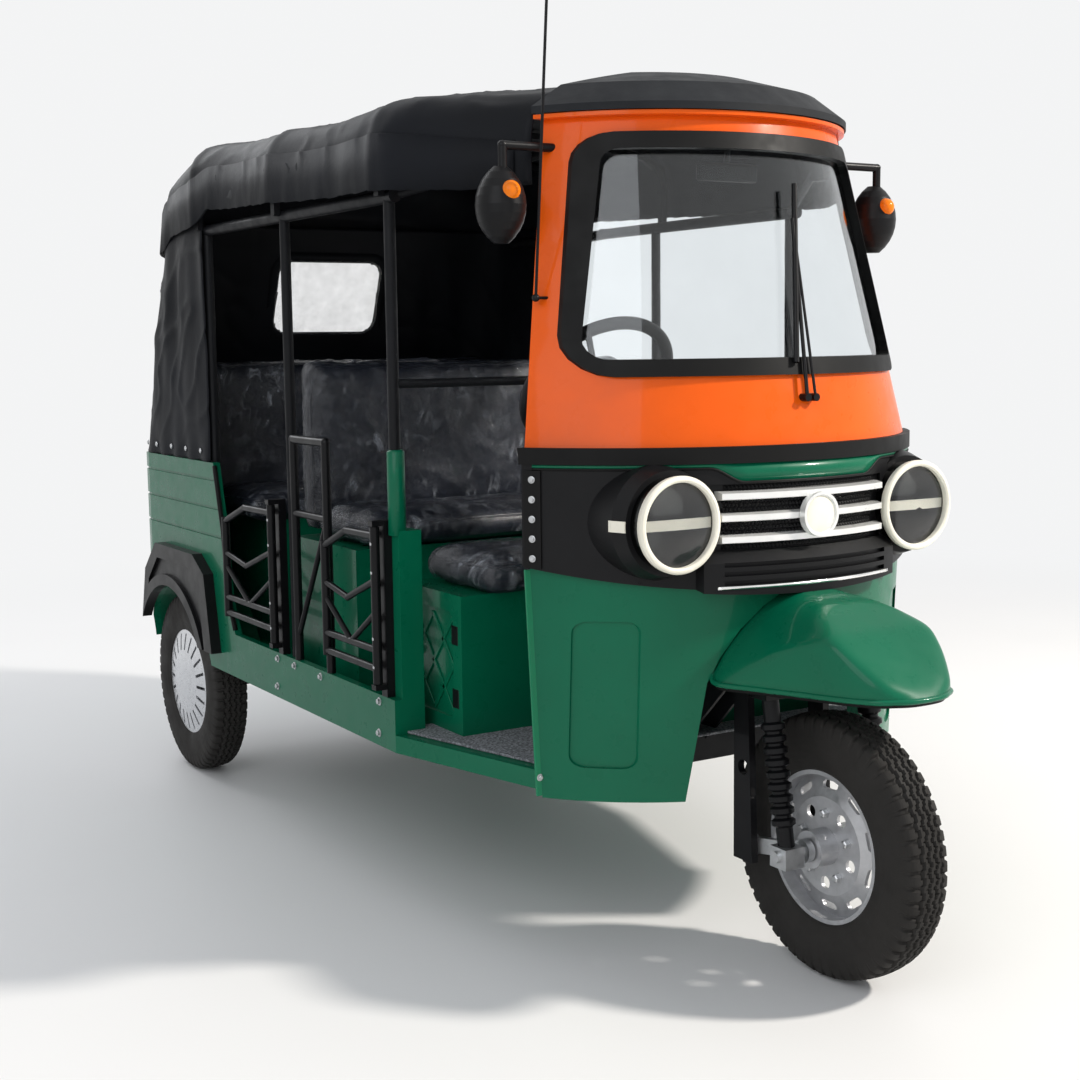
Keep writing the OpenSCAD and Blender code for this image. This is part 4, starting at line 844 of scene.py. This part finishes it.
def wrap_pad(name, pad, seed):
    """Clear film pulled over a pad from above, open underneath, standing off it in sharp creases."""
    film_piece = bpy.data.objects.new(name, pad.data.copy())
    bpy.context.scene.collection.objects.link(film_piece)
    voxel(film_piece, WRAP_VOXEL)
    bm = bmesh.new()
    bm.from_mesh(film_piece.data)
    bm.normal_update()
    under = [f for f in bm.faces if f.normal.z < -0.7]
    bmesh.ops.delete(bm, geom=under, context="FACES")
    area = sum(f.calc_area() for f in bm.faces)
    moves = []
    for v in bm.verts:
        sag = 0.5 + 0.5 * noise.noise(v.co * 3.1 + Vector((seed, 0, 0)))
        moves.append(v.normal * (FILM_STAND + FILM_CREASE * crumple(v.co, seed) * (0.4 + 0.6 * sag)))
    for v, move in zip(bm.verts, moves):
        v.co += move
    bm.to_mesh(film_piece.data)
    bm.free()
    film_piece.data.materials.clear()
    film_piece.data.materials.append(WRAP)
    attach(film_piece, "body")


def make_seat(node, face, seed, cap):
    """One pad with piping and its wrap."""
    low, high = box_of(node)
    gap = Vector((PAD_INSET, PAD_INSET, PAD_INSET))
    pad = piece(node + "_pad", rounded_box(low + gap, high - gap, PAD_R), SEAT_VINYL)
    voxel(pad, PAD_VOXEL)
    puff(pad, cap)
    piping(node + "_piping", pad, low + gap, high - gap, face)
    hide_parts(node)
    wrap_pad(node + "_wrap", pad, seed)


# Node, face with the piping, seed of the creases and greatest puff
SEATS = (("driver_cushion", "top", 1.3, 0.014), ("mid_cushion", "top", 4.1, 0.014),
         ("rear_cushion", "top", 7.7, 0.014), ("driver_backrest", "front", 2.9, 0.012),
         ("mid_backrest", "front", 5.5, 0.014), ("rear_backrest", "front", 9.2, 0.014))
for seat in SEATS:
    make_seat(*seat)


# Tyres with a zigzag road tread

BEAD_R = 0.156
TREAD_STEPS = 560
TREAD_PITCH = 56
GROOVE_DEPTH = 0.0058
LUG_DEPTH = 0.0065
LUG_START = 0.52
TREAD_ZONE = 0.036

# Share of the half width, with the height over the bead or the depth under the tread's top
WALL_PROFILE = ((0.74, -0.002), (0.86, 0.004), (0.90, 0.012), (0.95, 0.022), (0.985, 0.036), (1.0, 0.052),
                (0.99, 0.066))
TREAD_PROFILE = ((0.965, 0.034), (0.95, 0.026), (0.93, 0.019), (0.90, 0.0135), (0.86, 0.0095),
                 (0.80, 0.0068), (0.73, 0.005), (0.66, 0.0038), (0.58, 0.0029), (0.50, 0.0021),
                 (0.42, 0.0014), (0.34, 0.0009), (0.26, 0.0005), (0.18, 0.0002), (0.09, 0.0), (0.0, 0.0))


def tyre_half():
    """Half profile as (across, radius) from the bead to the middle of the tread."""
    half = TYRE_W / 2
    return ([(half * share, BEAD_R + rise) for share, rise in WALL_PROFILE]
            + [(half * share, TYRE_R - drop) for share, drop in TREAD_PROFILE])


def zigzag(t):
    """Triangle wave from -1 to 1."""
    return 4 * abs(t - math.floor(t + 0.5)) - 1


def tread_cut(share, turn):
    """Depth of the tread pattern at a share of the half width and a share of a turn."""
    side = 1 if share > 0 else -1
    s = abs(share)
    wave = zigzag(turn * TREAD_PITCH + (0.5 if side > 0 else 0.0))
    cut = 0.0
    for middle, width in ((0.16, 0.045), (0.48, 0.05)):
        if abs(s - middle - wave * 0.065) < width:
            cut = GROOVE_DEPTH
    if s > LUG_START:
        lug = (turn * TREAD_PITCH + (0.25 if side > 0 else 0.75)) % 1.0
        deep = min(1.0, (s - LUG_START) / 0.08) * (1.0 if s < 0.93 else max(0.0, (1.0 - s) / 0.07))
        if lug < 0.30:
            cut = max(cut, LUG_DEPTH * deep)
    return cut


def make_tyre(node, body):
    """Treaded tyre in place of a plain CAD one."""
    low, high = box_of(node)
    centre = (low + high) / 2
    half = tyre_half()
    profile = half + [(-a, r) for a, r in reversed(half[:-1])]
    rows = []
    for a, r in profile:
        row = []
        share = a / (TYRE_W / 2)
        for k in range(TREAD_STEPS):
            turn = k / TREAD_STEPS
            cut = tread_cut(share, turn) if r > TYRE_R - TREAD_ZONE else 0.0
            if TYRE_R - 0.064 < r < TYRE_R - 0.044:
                cut -= 0.0006
            t = 2 * math.pi * turn
            row.append(centre + Vector((a, (r - cut) * math.cos(t), (r - cut) * math.sin(t))))
        rows.append(row)
    bm = bmesh.new()
    rows.append(rows[0])
    grid(bm, rows, closed=True)
    bmesh.ops.remove_doubles(bm, verts=bm.verts, dist=1e-7)
    tyre = piece(node + "_tread", bm, TYRE_RUBBER, body, smooth=False)
    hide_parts(node)


for tyre_node, wheel_body in (("front_tyre", "front_wheel"), ("rear_tyre_right", "rear_wheel_right"),
                              ("rear_tyre_left", "rear_wheel_left")):
    make_tyre(tyre_node, wheel_body)


# Pressed mudguard with soft edges and a rolled lip

GUARD_TURNS = 144
GUARD_STEPS = 46
GUARD_REACH = 0.9


def guard_path(tree, centre, degrees):
    """Outer face of the mudguard from its top down to its edge, at one angle about its middle."""
    turn = math.radians(degrees)
    hits = []
    for i in range(241):
        rise = math.radians(90 - i * 0.5)
        out = Vector((math.cos(rise) * math.sin(turn), math.cos(rise) * math.cos(turn), math.sin(rise)))
        hit = tree.ray_cast(centre + out * GUARD_REACH, -out, GUARD_REACH)[0]
        if hit:
            hits.append(hit)
        elif hits:
            break
    return resample(hits, GUARD_STEPS)


def soften_round(rows, passes):
    """Softens rows that close on each other, keeping the last point of each."""
    n = len(rows)
    for _ in range(passes):
        rows = [[p if k in (0, len(row) - 1) else
                 p * 0.3 + (row[k - 1] + row[k + 1]) * 0.175
                 + (rows[i - 1][k] + rows[(i + 1) % n][k]) * 0.175
                 for k, p in enumerate(row)] for i, row in enumerate(rows)]
    return rows


def soften_edge(points, passes):
    """Softens a closed run of points."""
    n = len(points)
    for _ in range(passes):
        points = [p * 0.5 + (points[i - 1] + points[(i + 1) % n]) * 0.25 for i, p in enumerate(points)]
    return points


def make_mudguard():
    """Smooth pressing over the CAD mudguard, with a rolled edge and a rubber strip under it."""
    tree = shell_of("mudguard")
    low, high = box_of("mudguard")
    centre = Vector((0, (low.y + high.y) / 2, low.z + (high.z - low.z) * 0.15))
    rows = [guard_path(tree, centre, 360 * i / GUARD_TURNS) for i in range(GUARD_TURNS)]
    edge = soften_edge([row[-1] for row in rows], 4)
    rows = [row[:-1] + [p] for row, p in zip(rows, edge)]
    rows = soften_round(rows, 14)
    edge = [row[-1] for row in rows]
    bm = bmesh.new()
    grid(bm, rows + rows[:1])
    bmesh.ops.remove_doubles(bm, verts=bm.verts, dist=1e-5)
    skin = piece("mudguard_skin", bm, GREEN)
    thicken(skin, 0.004)
    roll, rubber = bmesh.new(), bmesh.new()
    tube(roll, edge, 0.0055, 10, closed=True)
    piece("mudguard_roll", roll, GREEN)
    strip = []
    for row in rows:
        inward = centre - row[-1]
        inward.z = 0
        inward.normalize()
        p = row[-1] + inward * 0.006
        drop = Vector((0, 0, -0.012))
        strip.append([p, p + drop, p + drop + inward * 0.004, p + inward * 0.004])
    strip.append(strip[0])
    grid(rubber, strip, closed=True)
    bmesh.ops.remove_doubles(rubber, verts=rubber.verts, dist=MERGE)
    piece("mudguard_strip", rubber, RUBBER)
    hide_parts("mudguard")


make_mudguard()


# Small trim on the front

LAMP_LOW, LAMP_HIGH = box_of("headlamps")
LAMP_R = (LAMP_HIGH.z - LAMP_LOW.z) / 2
LAMP_X = LAMP_HIGH.x - LAMP_R
LAMP_Z = (LAMP_HIGH.z + LAMP_LOW.z) / 2
GRILLE_LOW, GRILLE_HIGH = box_of("grille")
MASK_LOW_Z = box_of("front_mask")[0].z
PILLAR_DEG = math.degrees(math.acos((CAB_AXIS_Y - PILLAR_Y) / MASK_R))
AHEAD = Vector((0, -1, 0))
SIDES = (-1, 1)
BAR_HALF_H = 0.010
LAMP_RING = ((-0.008, 0.002), (0.004, 0.003), (0.008, 0.0), (0.009, -0.005), (0.006, -0.010),
             (-0.008, -0.010))
BADGE_FACE = ((-0.003, 0.038), (0, 0.038), (0.0015, 0.034), (0.0026, 0.024), (0.0032, 0.012), (0.0034, 0.0))
LIP_DEG = 20.5
SEAM_DEGS = (34.0, 34.5)
PILLAR_BOLTS = 5
BELT_STEPS = 120
MESH_SPAN_DEG = 19.0
MESH_MARGIN = 0.012
MESH_COLUMNS, MESH_LEVELS = 46, 14
MIRROR_X = -0.026


def spun(bm, place, axis, loop, sides=48):
    """Closed loop of (along, radius) carried right round an axis."""
    axis = axis.normalized()
    side = axis.orthogonal().normalized()
    other = axis.cross(side)
    rows = []
    for k in range(sides):
        t = 2 * math.pi * k / sides
        way = side * math.cos(t) + other * math.sin(t)
        rows.append([place + axis * along + way * r for along, r in loop])
    rows.append(rows[0])
    verts = grid(bm, rows, closed=True)
    bmesh.ops.remove_doubles(bm, verts=[v for row in verts for v in row], dist=MERGE)


def swept(bm, rows):
    """Closed loops joined in order and capped at both ends."""
    cap(bm, grid(bm, rows, closed=True))


def ring_band(bm, start, end, low, high, r0, r1, steps=48):
    """Band round the cab axis; low and high give its edges at an angle."""
    rows = []
    for i in range(steps + 1):
        a = start + (end - start) * i / steps
        loop = ((r0, low(a)), (r1, low(a)), (r1, high(a)), (r0, high(a)))
        rows.append([on_ring(a, r, z) for r, z in loop])
    swept(bm, rows)


def level_loop(x0, x1, y0, y1, z):
    """Corners of a level rectangle."""
    return [Vector((x, y, z)) for x, y in ((x0, y0), (x1, y0), (x1, y1), (x0, y1))]


def slab(bm, low, high):
    """Plain block between two corners."""
    plate(bm, level_loop(low.x, high.x, low.y, high.y, low.z), Vector((0, 0, high.z - low.z)))


def make_lamp_trim():
    """Pale lamp rings, a bar across each lamp and its end round the pod."""
    rings, bars = bmesh.new(), bmesh.new()
    pod = shell_of("front_mask")
    loop = [(along, LAMP_R + out) for along, out in LAMP_RING]
    for s in SIDES:
        face = Vector((s * LAMP_X, LAMP_LOW.y, LAMP_Z))
        spun(rings, face, AHEAD, loop, 64)
        half = LAMP_R - 0.011
        slab(bars, face + Vector((-half, 0.015, -BAR_HALF_H)), face + Vector((half, 0.019, BAR_HALF_H)))
        rows = []
        for i in range(9):
            y = LAMP_LOW.y + 0.010 + 0.062 * i / 8
            reach = []
            for z in (-0.011, 0.011):
                start = Vector((s * (LAMP_X + 0.25), y, LAMP_Z + z))
                hit = pod.ray_cast(start, Vector((-s, 0, 0)), 0.3)[0]
                if hit:
                    reach.append(hit)
            if len(reach) == 2:
                out = Vector((s * 0.003, 0, 0))
                rows.append([reach[0] - out, reach[0] + out, reach[1] + out, reach[1] - out])
        if len(rows) > 1:
            swept(bars, rows)
    round_edges(piece("lamp_rings", rings, PALE), 0.0008)
    piece("lamp_bars", bars, PALE, smooth=False)


def make_badge():
    """Blank domed face inside the badge rim."""
    bm = bmesh.new()
    place = Vector((0, GRILLE_LOW.y + 0.0045, (GRILLE_LOW.z + GRILLE_HIGH.z) / 2))
    turned(bm, place, AHEAD, BADGE_FACE, 48)
    piece("badge_face", bm, PALE)


def make_mesh_panel():
    """Scale mesh behind the grille bars: rows of small pyramids."""
    bm = bmesh.new()
    r = MASK_R - 0.0075
    low, high = GRILLE_LOW.z - MESH_MARGIN, GRILLE_HIGH.z + MESH_MARGIN
    pitch = MESH_COLUMNS + 1
    for j in range(MESH_LEVELS):
        z0, z1 = (low + (high - low) * k / MESH_LEVELS for k in (j, j + 1))
        for i in range(MESH_COLUMNS):
            shift = 0.5 if j % 2 else 0.0
            a0 = -MESH_SPAN_DEG + 2 * MESH_SPAN_DEG * (i + shift) / pitch
            a1 = a0 + 2 * MESH_SPAN_DEG / pitch
            base = [on_ring(a0, r, z0), on_ring(a1, r, z0), on_ring(a1, r, z1), on_ring(a0, r, z1)]
            verts = [bm.verts.new(p) for p in base]
            tip = bm.verts.new(on_ring((a0 + a1) / 2, r + 0.0045, z0 + (z1 - z0) * 0.3))
            for k in range(4):
                bm.faces.new((verts[k], verts[(k + 1) % 4], tip))
            bm.faces.new(reversed(verts))
    piece("grille_mesh", bm, BLACK_PLASTIC, smooth=False)


def dip(angle):
    """How far the green shows under the belt trim at an angle."""
    x = abs(MASK_R * math.sin(math.radians(angle)))
    t = min(1.0, max(0.0, (0.225 - x) / 0.07))
    return 0.007 + 0.029 * t * t * (3 - 2 * t)


def make_belt_strip():
    """Body colour under the belt trim, deeper at the middle, edged by a black bead."""
    span = PILLAR_DEG - 2.5
    bm = bmesh.new()
    ring_band(bm, -span, span, lambda a: TRIM_LOW_Z - dip(a), lambda a: TRIM_LOW_Z, MASK_R - 0.002,
              MASK_R + 0.0022, BELT_STEPS)
    piece("belt_strip", bm, GREEN)
    bead = bmesh.new()
    angles = [-span + 2 * span * i / BELT_STEPS for i in range(BELT_STEPS + 1)]
    path = [on_ring(a, MASK_R + 0.0015, TRIM_LOW_Z - dip(a) - 0.002) for a in angles]
    tube(bead, path, 0.0028, 8)
    piece("belt_bead", bead, RUBBER)


def make_mask_trim():
    """Silver lip line on the chin, seams down the mask and bolted strips at the pillar edges."""
    lip = bmesh.new()
    ring_band(lip, -LIP_DEG, LIP_DEG, lambda a: MASK_LOW_Z + 0.016, lambda a: MASK_LOW_Z + 0.022,
              CHIN_R - 0.002, CHIN_R + 0.0018)
    piece("chin_line", lip, CHROME)
    strips, bolts = bmesh.new(), bmesh.new()
    for s in SIDES:
        a0, a1 = s * (PILLAR_DEG - 4.2), s * (PILLAR_DEG - 0.8)
        ring_band(strips, a0, a1, lambda a: MASK_LOW_Z + 0.055, lambda a: TRIM_LOW_Z - 0.012, MASK_R - 0.001,
                  MASK_R + 0.0045, 6)
        ring_band(strips, s * SEAM_DEGS[0], s * SEAM_DEGS[1], lambda a: MASK_LOW_Z + 0.03,
                  lambda a: LAMP_Z - 0.12, MASK_R - 0.001, MASK_R + 0.002, 2)
        for k in range(PILLAR_BOLTS):
            z = MASK_LOW_Z + 0.075 + (TRIM_LOW_Z - MASK_LOW_Z - 0.105) * k / (PILLAR_BOLTS - 1)
            place = on_ring((a0 + a1) / 2, MASK_R + 0.0045, z)
            bolt(bolts, place, place - Vector((0, CAB_AXIS_Y, z)), 0.0048)
    round_edges(piece("pillar_strips", strips, RUBBER, smooth=False), 0.0012)
    piece("pillar_bolts", bolts, STEEL, smooth=False)


def make_pillar_flanges():
    """Turned-out flange down the rear edge of the apron in a brighter green that is painted light, with a
    bolt at its foot.
    """
    bm, bolts = bmesh.new(), bmesh.new()
    skin = shell_of("apron")
    low_z, high_z = box_of("apron")[0].z + 0.004, MASK_LOW_Z + 0.05
    for s in SIDES:
        rows = []
        for i in range(25):
            z = low_z + (high_z - low_z) * i / 24
            hit = skin.ray_cast(Vector((s * 1.0, PILLAR_Y - 0.004, z)), Vector((-s, 0, 0)), 1.0)[0]
            if hit:
                rows.append(level_loop(hit.x - s * 0.010, hit.x + s * 0.013, PILLAR_Y - 0.0025,
                                       PILLAR_Y + 0.004, z))
        if len(rows) > 1:
            swept(bm, rows)
            foot = rows[2]
            bolt(bolts, (foot[0] + foot[1]) / 2 + Vector((s * 0.003, 0, 0)), AHEAD, 0.005)
    round_edges(piece("pillar_flanges", bm, LIT_FLANGE_GREEN, smooth=False), 0.001)
    piece("flange_bolts", bolts, STEEL, smooth=False)


def make_inside_mirror():
    """Rear-view mirror hung inside the screen on a short stem."""
    y = AXLE_Y + 0.320
    low, high = Vector((-0.104, y, 1.608)), Vector((0.051, y + 0.016, 1.646))
    piece("inside_mirror", rounded_box(low, high, 0.007), BLACK_PLASTIC)
    bm = bmesh.new()
    stem = [Vector((MIRROR_X, y + dy, z)) for dy, z in ((0.010, 1.640), (0.006, 1.680), (-0.006, 1.715))]
    tube(bm, stem, 0.006, 10)
    piece("inside_mirror_stem", bm, BLACK_PLASTIC)


make_lamp_trim()
make_badge()
make_mesh_panel()
make_belt_strip()
make_mask_trim()
make_pillar_flanges()
make_inside_mirror()


# Small trim on the body, floor and wheels

SIDE_REACH = 1.2
BEZEL_OUT, BEZEL_IN = 0.009, 0.003
TAIL_CELLS = 6
POST_Y = 0.820
WHEEL_NUTS = 5
NUT_CIRCLE_R = 0.068
NUT_PROFILE = ((0, 0.010), (0.003, 0.010), (0.0031, 0.0085), (0.011, 0.0085), (0.013, 0.006))
KNOB_PROFILE = ((0, 0.006), (0.010, 0.006), (0.012, 0.012), (0.018, 0.013), (0.022, 0.009), (0.023, 0.0))
# Bolts on the sill and hinge uprights, as distance behind the front axle and height
SILL_BOLTS = ((1.482, 0.474), (1.371, 0.474), (1.208, 0.474), (1.489, 0.400), (0.878, 0.474), (0.883, 0.400))
HINGE_YS = (0.850, 1.460)
HINGE_ZS = (0.560, 0.625, 0.775, 0.840)


def reach_in(node, s, y, z):
    """First point of a node met from outside at one side, a distance behind the front axle."""
    start = Vector((s * SIDE_REACH, AXLE_Y + y, z))
    return shell_of(node).ray_cast(start, Vector((-s, 0, 0)), SIDE_REACH)[0]


def make_sill_bolts():
    """Bolts along the sill plates and on the hinge uprights."""
    bm = bmesh.new()
    for s in SIDES:
        spots = [("sill_panels", y, z, 0.0065) for y, z in SILL_BOLTS]
        spots += [("guard_rails", y, z, 0.0045) for y in HINGE_YS for z in HINGE_ZS]
        for node, y, z, size in spots:
            hit = reach_in(node, s, y, z)
            if hit:
                bolt(bm, hit, Vector((s, 0, 0)), size)
    piece("side_bolts", bm, STEEL, smooth=False)


def make_edge_seals():
    """Rubber bead up the front edge of each quarter panel."""
    bm = bmesh.new()
    tree = shell_of("quarter_panels")
    for s in SIDES:
        path = []
        for i in range(25):
            z = SILL_TOP_Z + 0.012 + (WAIST_Z - SILL_TOP_Z - 0.02) * i / 24
            start = Vector((s * (BODY_HALF_W - 0.0006), AXLE_Y + 1.5, z))
            hit = tree.ray_cast(start, Vector((0, 1, 0)), 0.8)[0]
            if hit:
                path.append(hit + Vector((-s * 0.002, -0.002, 0)))
        if len(path) > 2:
            tube(bm, path, 0.0065, 10)
    piece("quarter_seals", bm, RUBBER)


def make_mats():
    """Grey felt mat in the cab and a dark mat with a pale edge behind it."""
    z = FLOOR_Z + 0.0005
    cab = bmesh.new()
    half = ((0.455, 0.405), (0.560, 0.800), (0.560, 0.835))
    outline = [(-x, y) for x, y in half] + list(reversed(half))
    plate(cab, [Vector((x, AXLE_Y + y, z)) for x, y in outline], Vector((0, 0, 0.006)))
    round_edges(piece("cab_mat", cab, MAT_GREY, smooth=False), 0.002)
    rear, edge = bmesh.new(), bmesh.new()
    ring = level_loop(-0.552, 0.552, AXLE_Y + 0.985, AXLE_Y + 1.765, z)
    rise = Vector((0, 0, 0.005))
    plate(rear, ring, rise)
    tube(edge, resample([p + rise for p in ring + ring[:1]], 81)[:-1], 0.0045, 8, closed=True)
    piece("rear_mat", rear, MAT_DARK, smooth=False)
    piece("rear_mat_edge", edge, PALE)


def make_box_doors():
    """Embossed door on each end of the driver's seat box, with hinges and a knob."""
    ribs, dark, knobs = bmesh.new(), bmesh.new(), bmesh.new()
    y0, y1 = AXLE_Y + 0.715, AXLE_Y + 0.935
    z0, z1 = FLOOR_Z + 0.03, FLOOR_Z + 0.285
    for s in SIDES:
        hit = reach_in("seat_boxes", s, 0.80, FLOOR_Z + 0.15)
        out = Vector((s * 0.004, 0, 0))
        corners = [Vector((hit.x, y, z)) for y, z in ((y0, z0), (y1, z0), (y1, z1), (y0, z1))]
        middle = (corners[0] + corners[2]) / 2
        runs = [(corners[k], corners[(k + 1) % 4]) for k in range(4)]
        inner = [middle + (c - middle) * 0.86 for c in corners]
        runs += [(inner[0], inner[2]), (inner[1], inner[3])]
        mids = [(inner[k] + inner[(k + 1) % 4]) / 2 for k in range(4)]
        runs += [(mids[k], mids[(k + 1) % 4]) for k in range(4)]
        for a, b in runs:
            side = (b - a).normalized().cross(Vector((1, 0, 0))) * 0.0055
            plate(ribs, [a - side, b - side, b + side, a + side], out)
        for share in (0.22, 0.78):
            place = corners[0].lerp(corners[3], share)
            slab(dark, place + Vector((-0.003, -0.014, -0.022)), place + Vector((s * 0.007, 0.016, 0.022)))
        turned(knobs, middle + Vector((0, (y1 - y0) * 0.40, 0.01)), Vector((s, 0, 0)), KNOB_PROFILE, 20)
    round_edges(piece("box_door_ribs", ribs, GREEN, smooth=False), 0.0015)
    round_edges(piece("box_door_hinges", dark, BLACK_PAINT, smooth=False), 0.002)
    piece("box_door_knobs", knobs, CHROME)


def make_post_sleeves():
    """Painted sleeve at the foot of each front roof post."""
    bm = bmesh.new()
    for s in SIDES:
        hit = reach_in("roof_frame", s, POST_Y, 1.2)
        place = Vector((hit.x - s * 0.015, AXLE_Y + POST_Y, box_of("side_bulkheads")[1].z - 0.01))
        turned(bm, place, Vector((0, 0, 1)), ((0, 0.020), (0.185, 0.020), (0.190, 0.0155)), 20)
    piece("post_sleeves", bm, GREEN)


def make_wheel_nuts():
    """Lug nuts on both faces of the front wheel."""
    bm = bmesh.new()
    tree = shell_of("front_rim")
    for s in SIDES:
        for k in range(WHEEL_NUTS):
            t = math.radians(18 + 360 / WHEEL_NUTS * k)
            y, z = AXLE_Y + NUT_CIRCLE_R * math.cos(t), TYRE_R + NUT_CIRCLE_R * math.sin(t)
            hit = tree.ray_cast(Vector((s * 0.3, y, z)), Vector((-s, 0, 0)), 0.3)[0]
            if hit:
                turned(bm, hit, Vector((s, 0, 0)), NUT_PROFILE, 6)
    piece("front_wheel_nuts", bm, STEEL, "front_wheel", smooth=False)


def make_tail_bezels():
    """Black frame and cross ribs on each tail lamp."""
    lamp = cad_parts["tail_lamps"]
    xs = [(lamp.matrix_world @ v.co).x for v in lamp.data.vertices]
    x0, x1 = min(x for x in xs if x > 0), max(xs)
    low, high = box_of("tail_lamps")
    bm, ribs = bmesh.new(), bmesh.new()
    for s in SIDES:
        outer, inner = (rounded_outline(x0 + inset, x1 - inset, low.z + inset, high.z - inset, r)
                        for inset, r in ((-BEZEL_OUT, 0.018), (BEZEL_IN, 0.010)))
        rows = [[Vector((s * a, TAIL_Y - 0.002, b)), Vector((s * a, TAIL_Y + 0.007, b)),
                 Vector((s * c, TAIL_Y + 0.009, d)), Vector((s * c, TAIL_Y - 0.002, d))]
                for (a, b), (c, d) in zip(outer, inner)]
        grid(bm, rows + rows[:1], closed=True)
        for k in range(1, TAIL_CELLS):
            z = low.z + (high.z - low.z) * k / TAIL_CELLS
            path = [Vector((s * x, high.y, z)) for x in (x0 + BEZEL_IN, x1 - BEZEL_IN)]
            tube(ribs, path, 0.0022, 8)
    bmesh.ops.remove_doubles(bm, verts=bm.verts, dist=MERGE)
    piece("tail_bezels", bm, BLACK_PLASTIC)
    piece("tail_lamp_ribs", ribs, RED)


make_tail_bezels()
make_sill_bolts()
make_edge_seals()
make_mats()
make_box_doors()
make_post_sleeves()
make_wheel_nuts()


# Light, floor and background

SURROUND = (0.90, 0.905, 0.91, 1)
SKY = (0.93, 0.95, 1.0, 1)
FADE_START, FADE_END = 2.2, 6.0

# Name, place, aim, size, power and colour
LAMPS = (
    ("key", (5.2, -5.0, 5.6), (0, -0.2, 0.8), 0.7, 780, (1.0, 0.95, 0.88)),
    ("fill", (-5.0, -4.0, 4.0), (0, 0, 0.9), 5.0, 120, (0.93, 0.96, 1.0)),
    ("rim", (-1.0, 5.5, 4.5), (0, 0.4, 1.0), 4.0, 120, (0.95, 0.97, 1.0)),
)


def seen_directly(tree):
    """One for camera, glossy and transmission rays."""
    path = add_node(tree, "LightPath")
    seeing = path.outputs["Is Camera Ray"]
    for kind in ("Is Glossy Ray", "Is Transmission Ray"):
        most = add_node(tree, "Math", {0: seeing, 1: path.outputs[kind]}, operation="MAXIMUM")
        seeing = most.outputs["Value"]
    return seeing


def fade_floor(tree, bsdf):
    """Lets the far floor run into the surround's colour."""
    place = add_node(tree, "NewGeometry")
    far = add_node(tree, "VectorMath", {0: place.outputs["Position"]}, operation="LENGTH")
    near = add_node(tree, "MapRange", {"From Min": FADE_START, "From Max": FADE_END,
                                       "Value": far.outputs["Value"]}, interpolation_type="SMOOTHSTEP")
    share = add_node(tree, "Math", {0: near.outputs["Result"], 1: seen_directly(tree)}, operation="MULTIPLY")
    glow = add_node(tree, "Emission", {"Color": SURROUND})
    mix = add_node(tree, "MixShader", {"Fac": share.outputs["Value"], 1: bsdf.outputs["BSDF"],
                                       2: glow.outputs["Emission"]})
    feed(tree, tree.nodes["Material Output"], {"Surface": mix.outputs["Shader"]})


def make_floor():
    """Pale floor."""
    bm = bmesh.new()
    bmesh.ops.create_grid(bm, x_segments=1, y_segments=1, size=30)
    mesh = bpy.data.meshes.new("floor")
    bm.to_mesh(mesh)
    bm.free()
    floor = bpy.data.objects.new("floor", mesh)
    bpy.context.scene.collection.objects.link(floor)
    mat, tree, bsdf = shader("pale_floor")
    cloud = link_noise(tree, 0.6, 3.0)
    feed(tree, bsdf, {"Base Color": ramp(tree, cloud, (0.80, 0.795, 0.785), (0.83, 0.828, 0.82)),
                      "Roughness": 0.6})
    fade_floor(tree, bsdf)
    mesh.materials.append(mat)


def make_world():
    """Soft sky light with a white surround where it is seen."""
    world = bpy.data.worlds.new("surround")
    world.use_nodes = True
    tree = world.node_tree
    back = tree.nodes["Background"]
    feed(tree, back, {"Color": SKY, "Strength": 0.50})
    seen = add_node(tree, "Background", {"Color": SURROUND, "Strength": 1.0})
    mix = add_node(tree, "MixShader", {"Fac": seen_directly(tree), 1: back.outputs["Background"],
                                       2: seen.outputs["Background"]})
    feed(tree, tree.nodes["World Output"], {"Surface": mix.outputs["Shader"]})
    bpy.context.scene.world = world


def area_light(name, place, aim, size, power, colour):
    """Round lamp at a place, aimed at a point."""
    data = bpy.data.lights.new(name, "AREA")
    data.shape = "DISK"
    data.size = size
    data.energy = power
    data.color = colour
    lamp = bpy.data.objects.new(name, data)
    bpy.context.scene.collection.objects.link(lamp)
    lamp.location = place
    lamp.rotation_euler = (Vector(aim) - Vector(place)).to_track_quat("-Z", "Y").to_euler()


make_floor()
make_world()
for lamp_row in LAMPS:
    area_light(*lamp_row)
bpy.context.scene.view_settings.view_transform = "Standard"
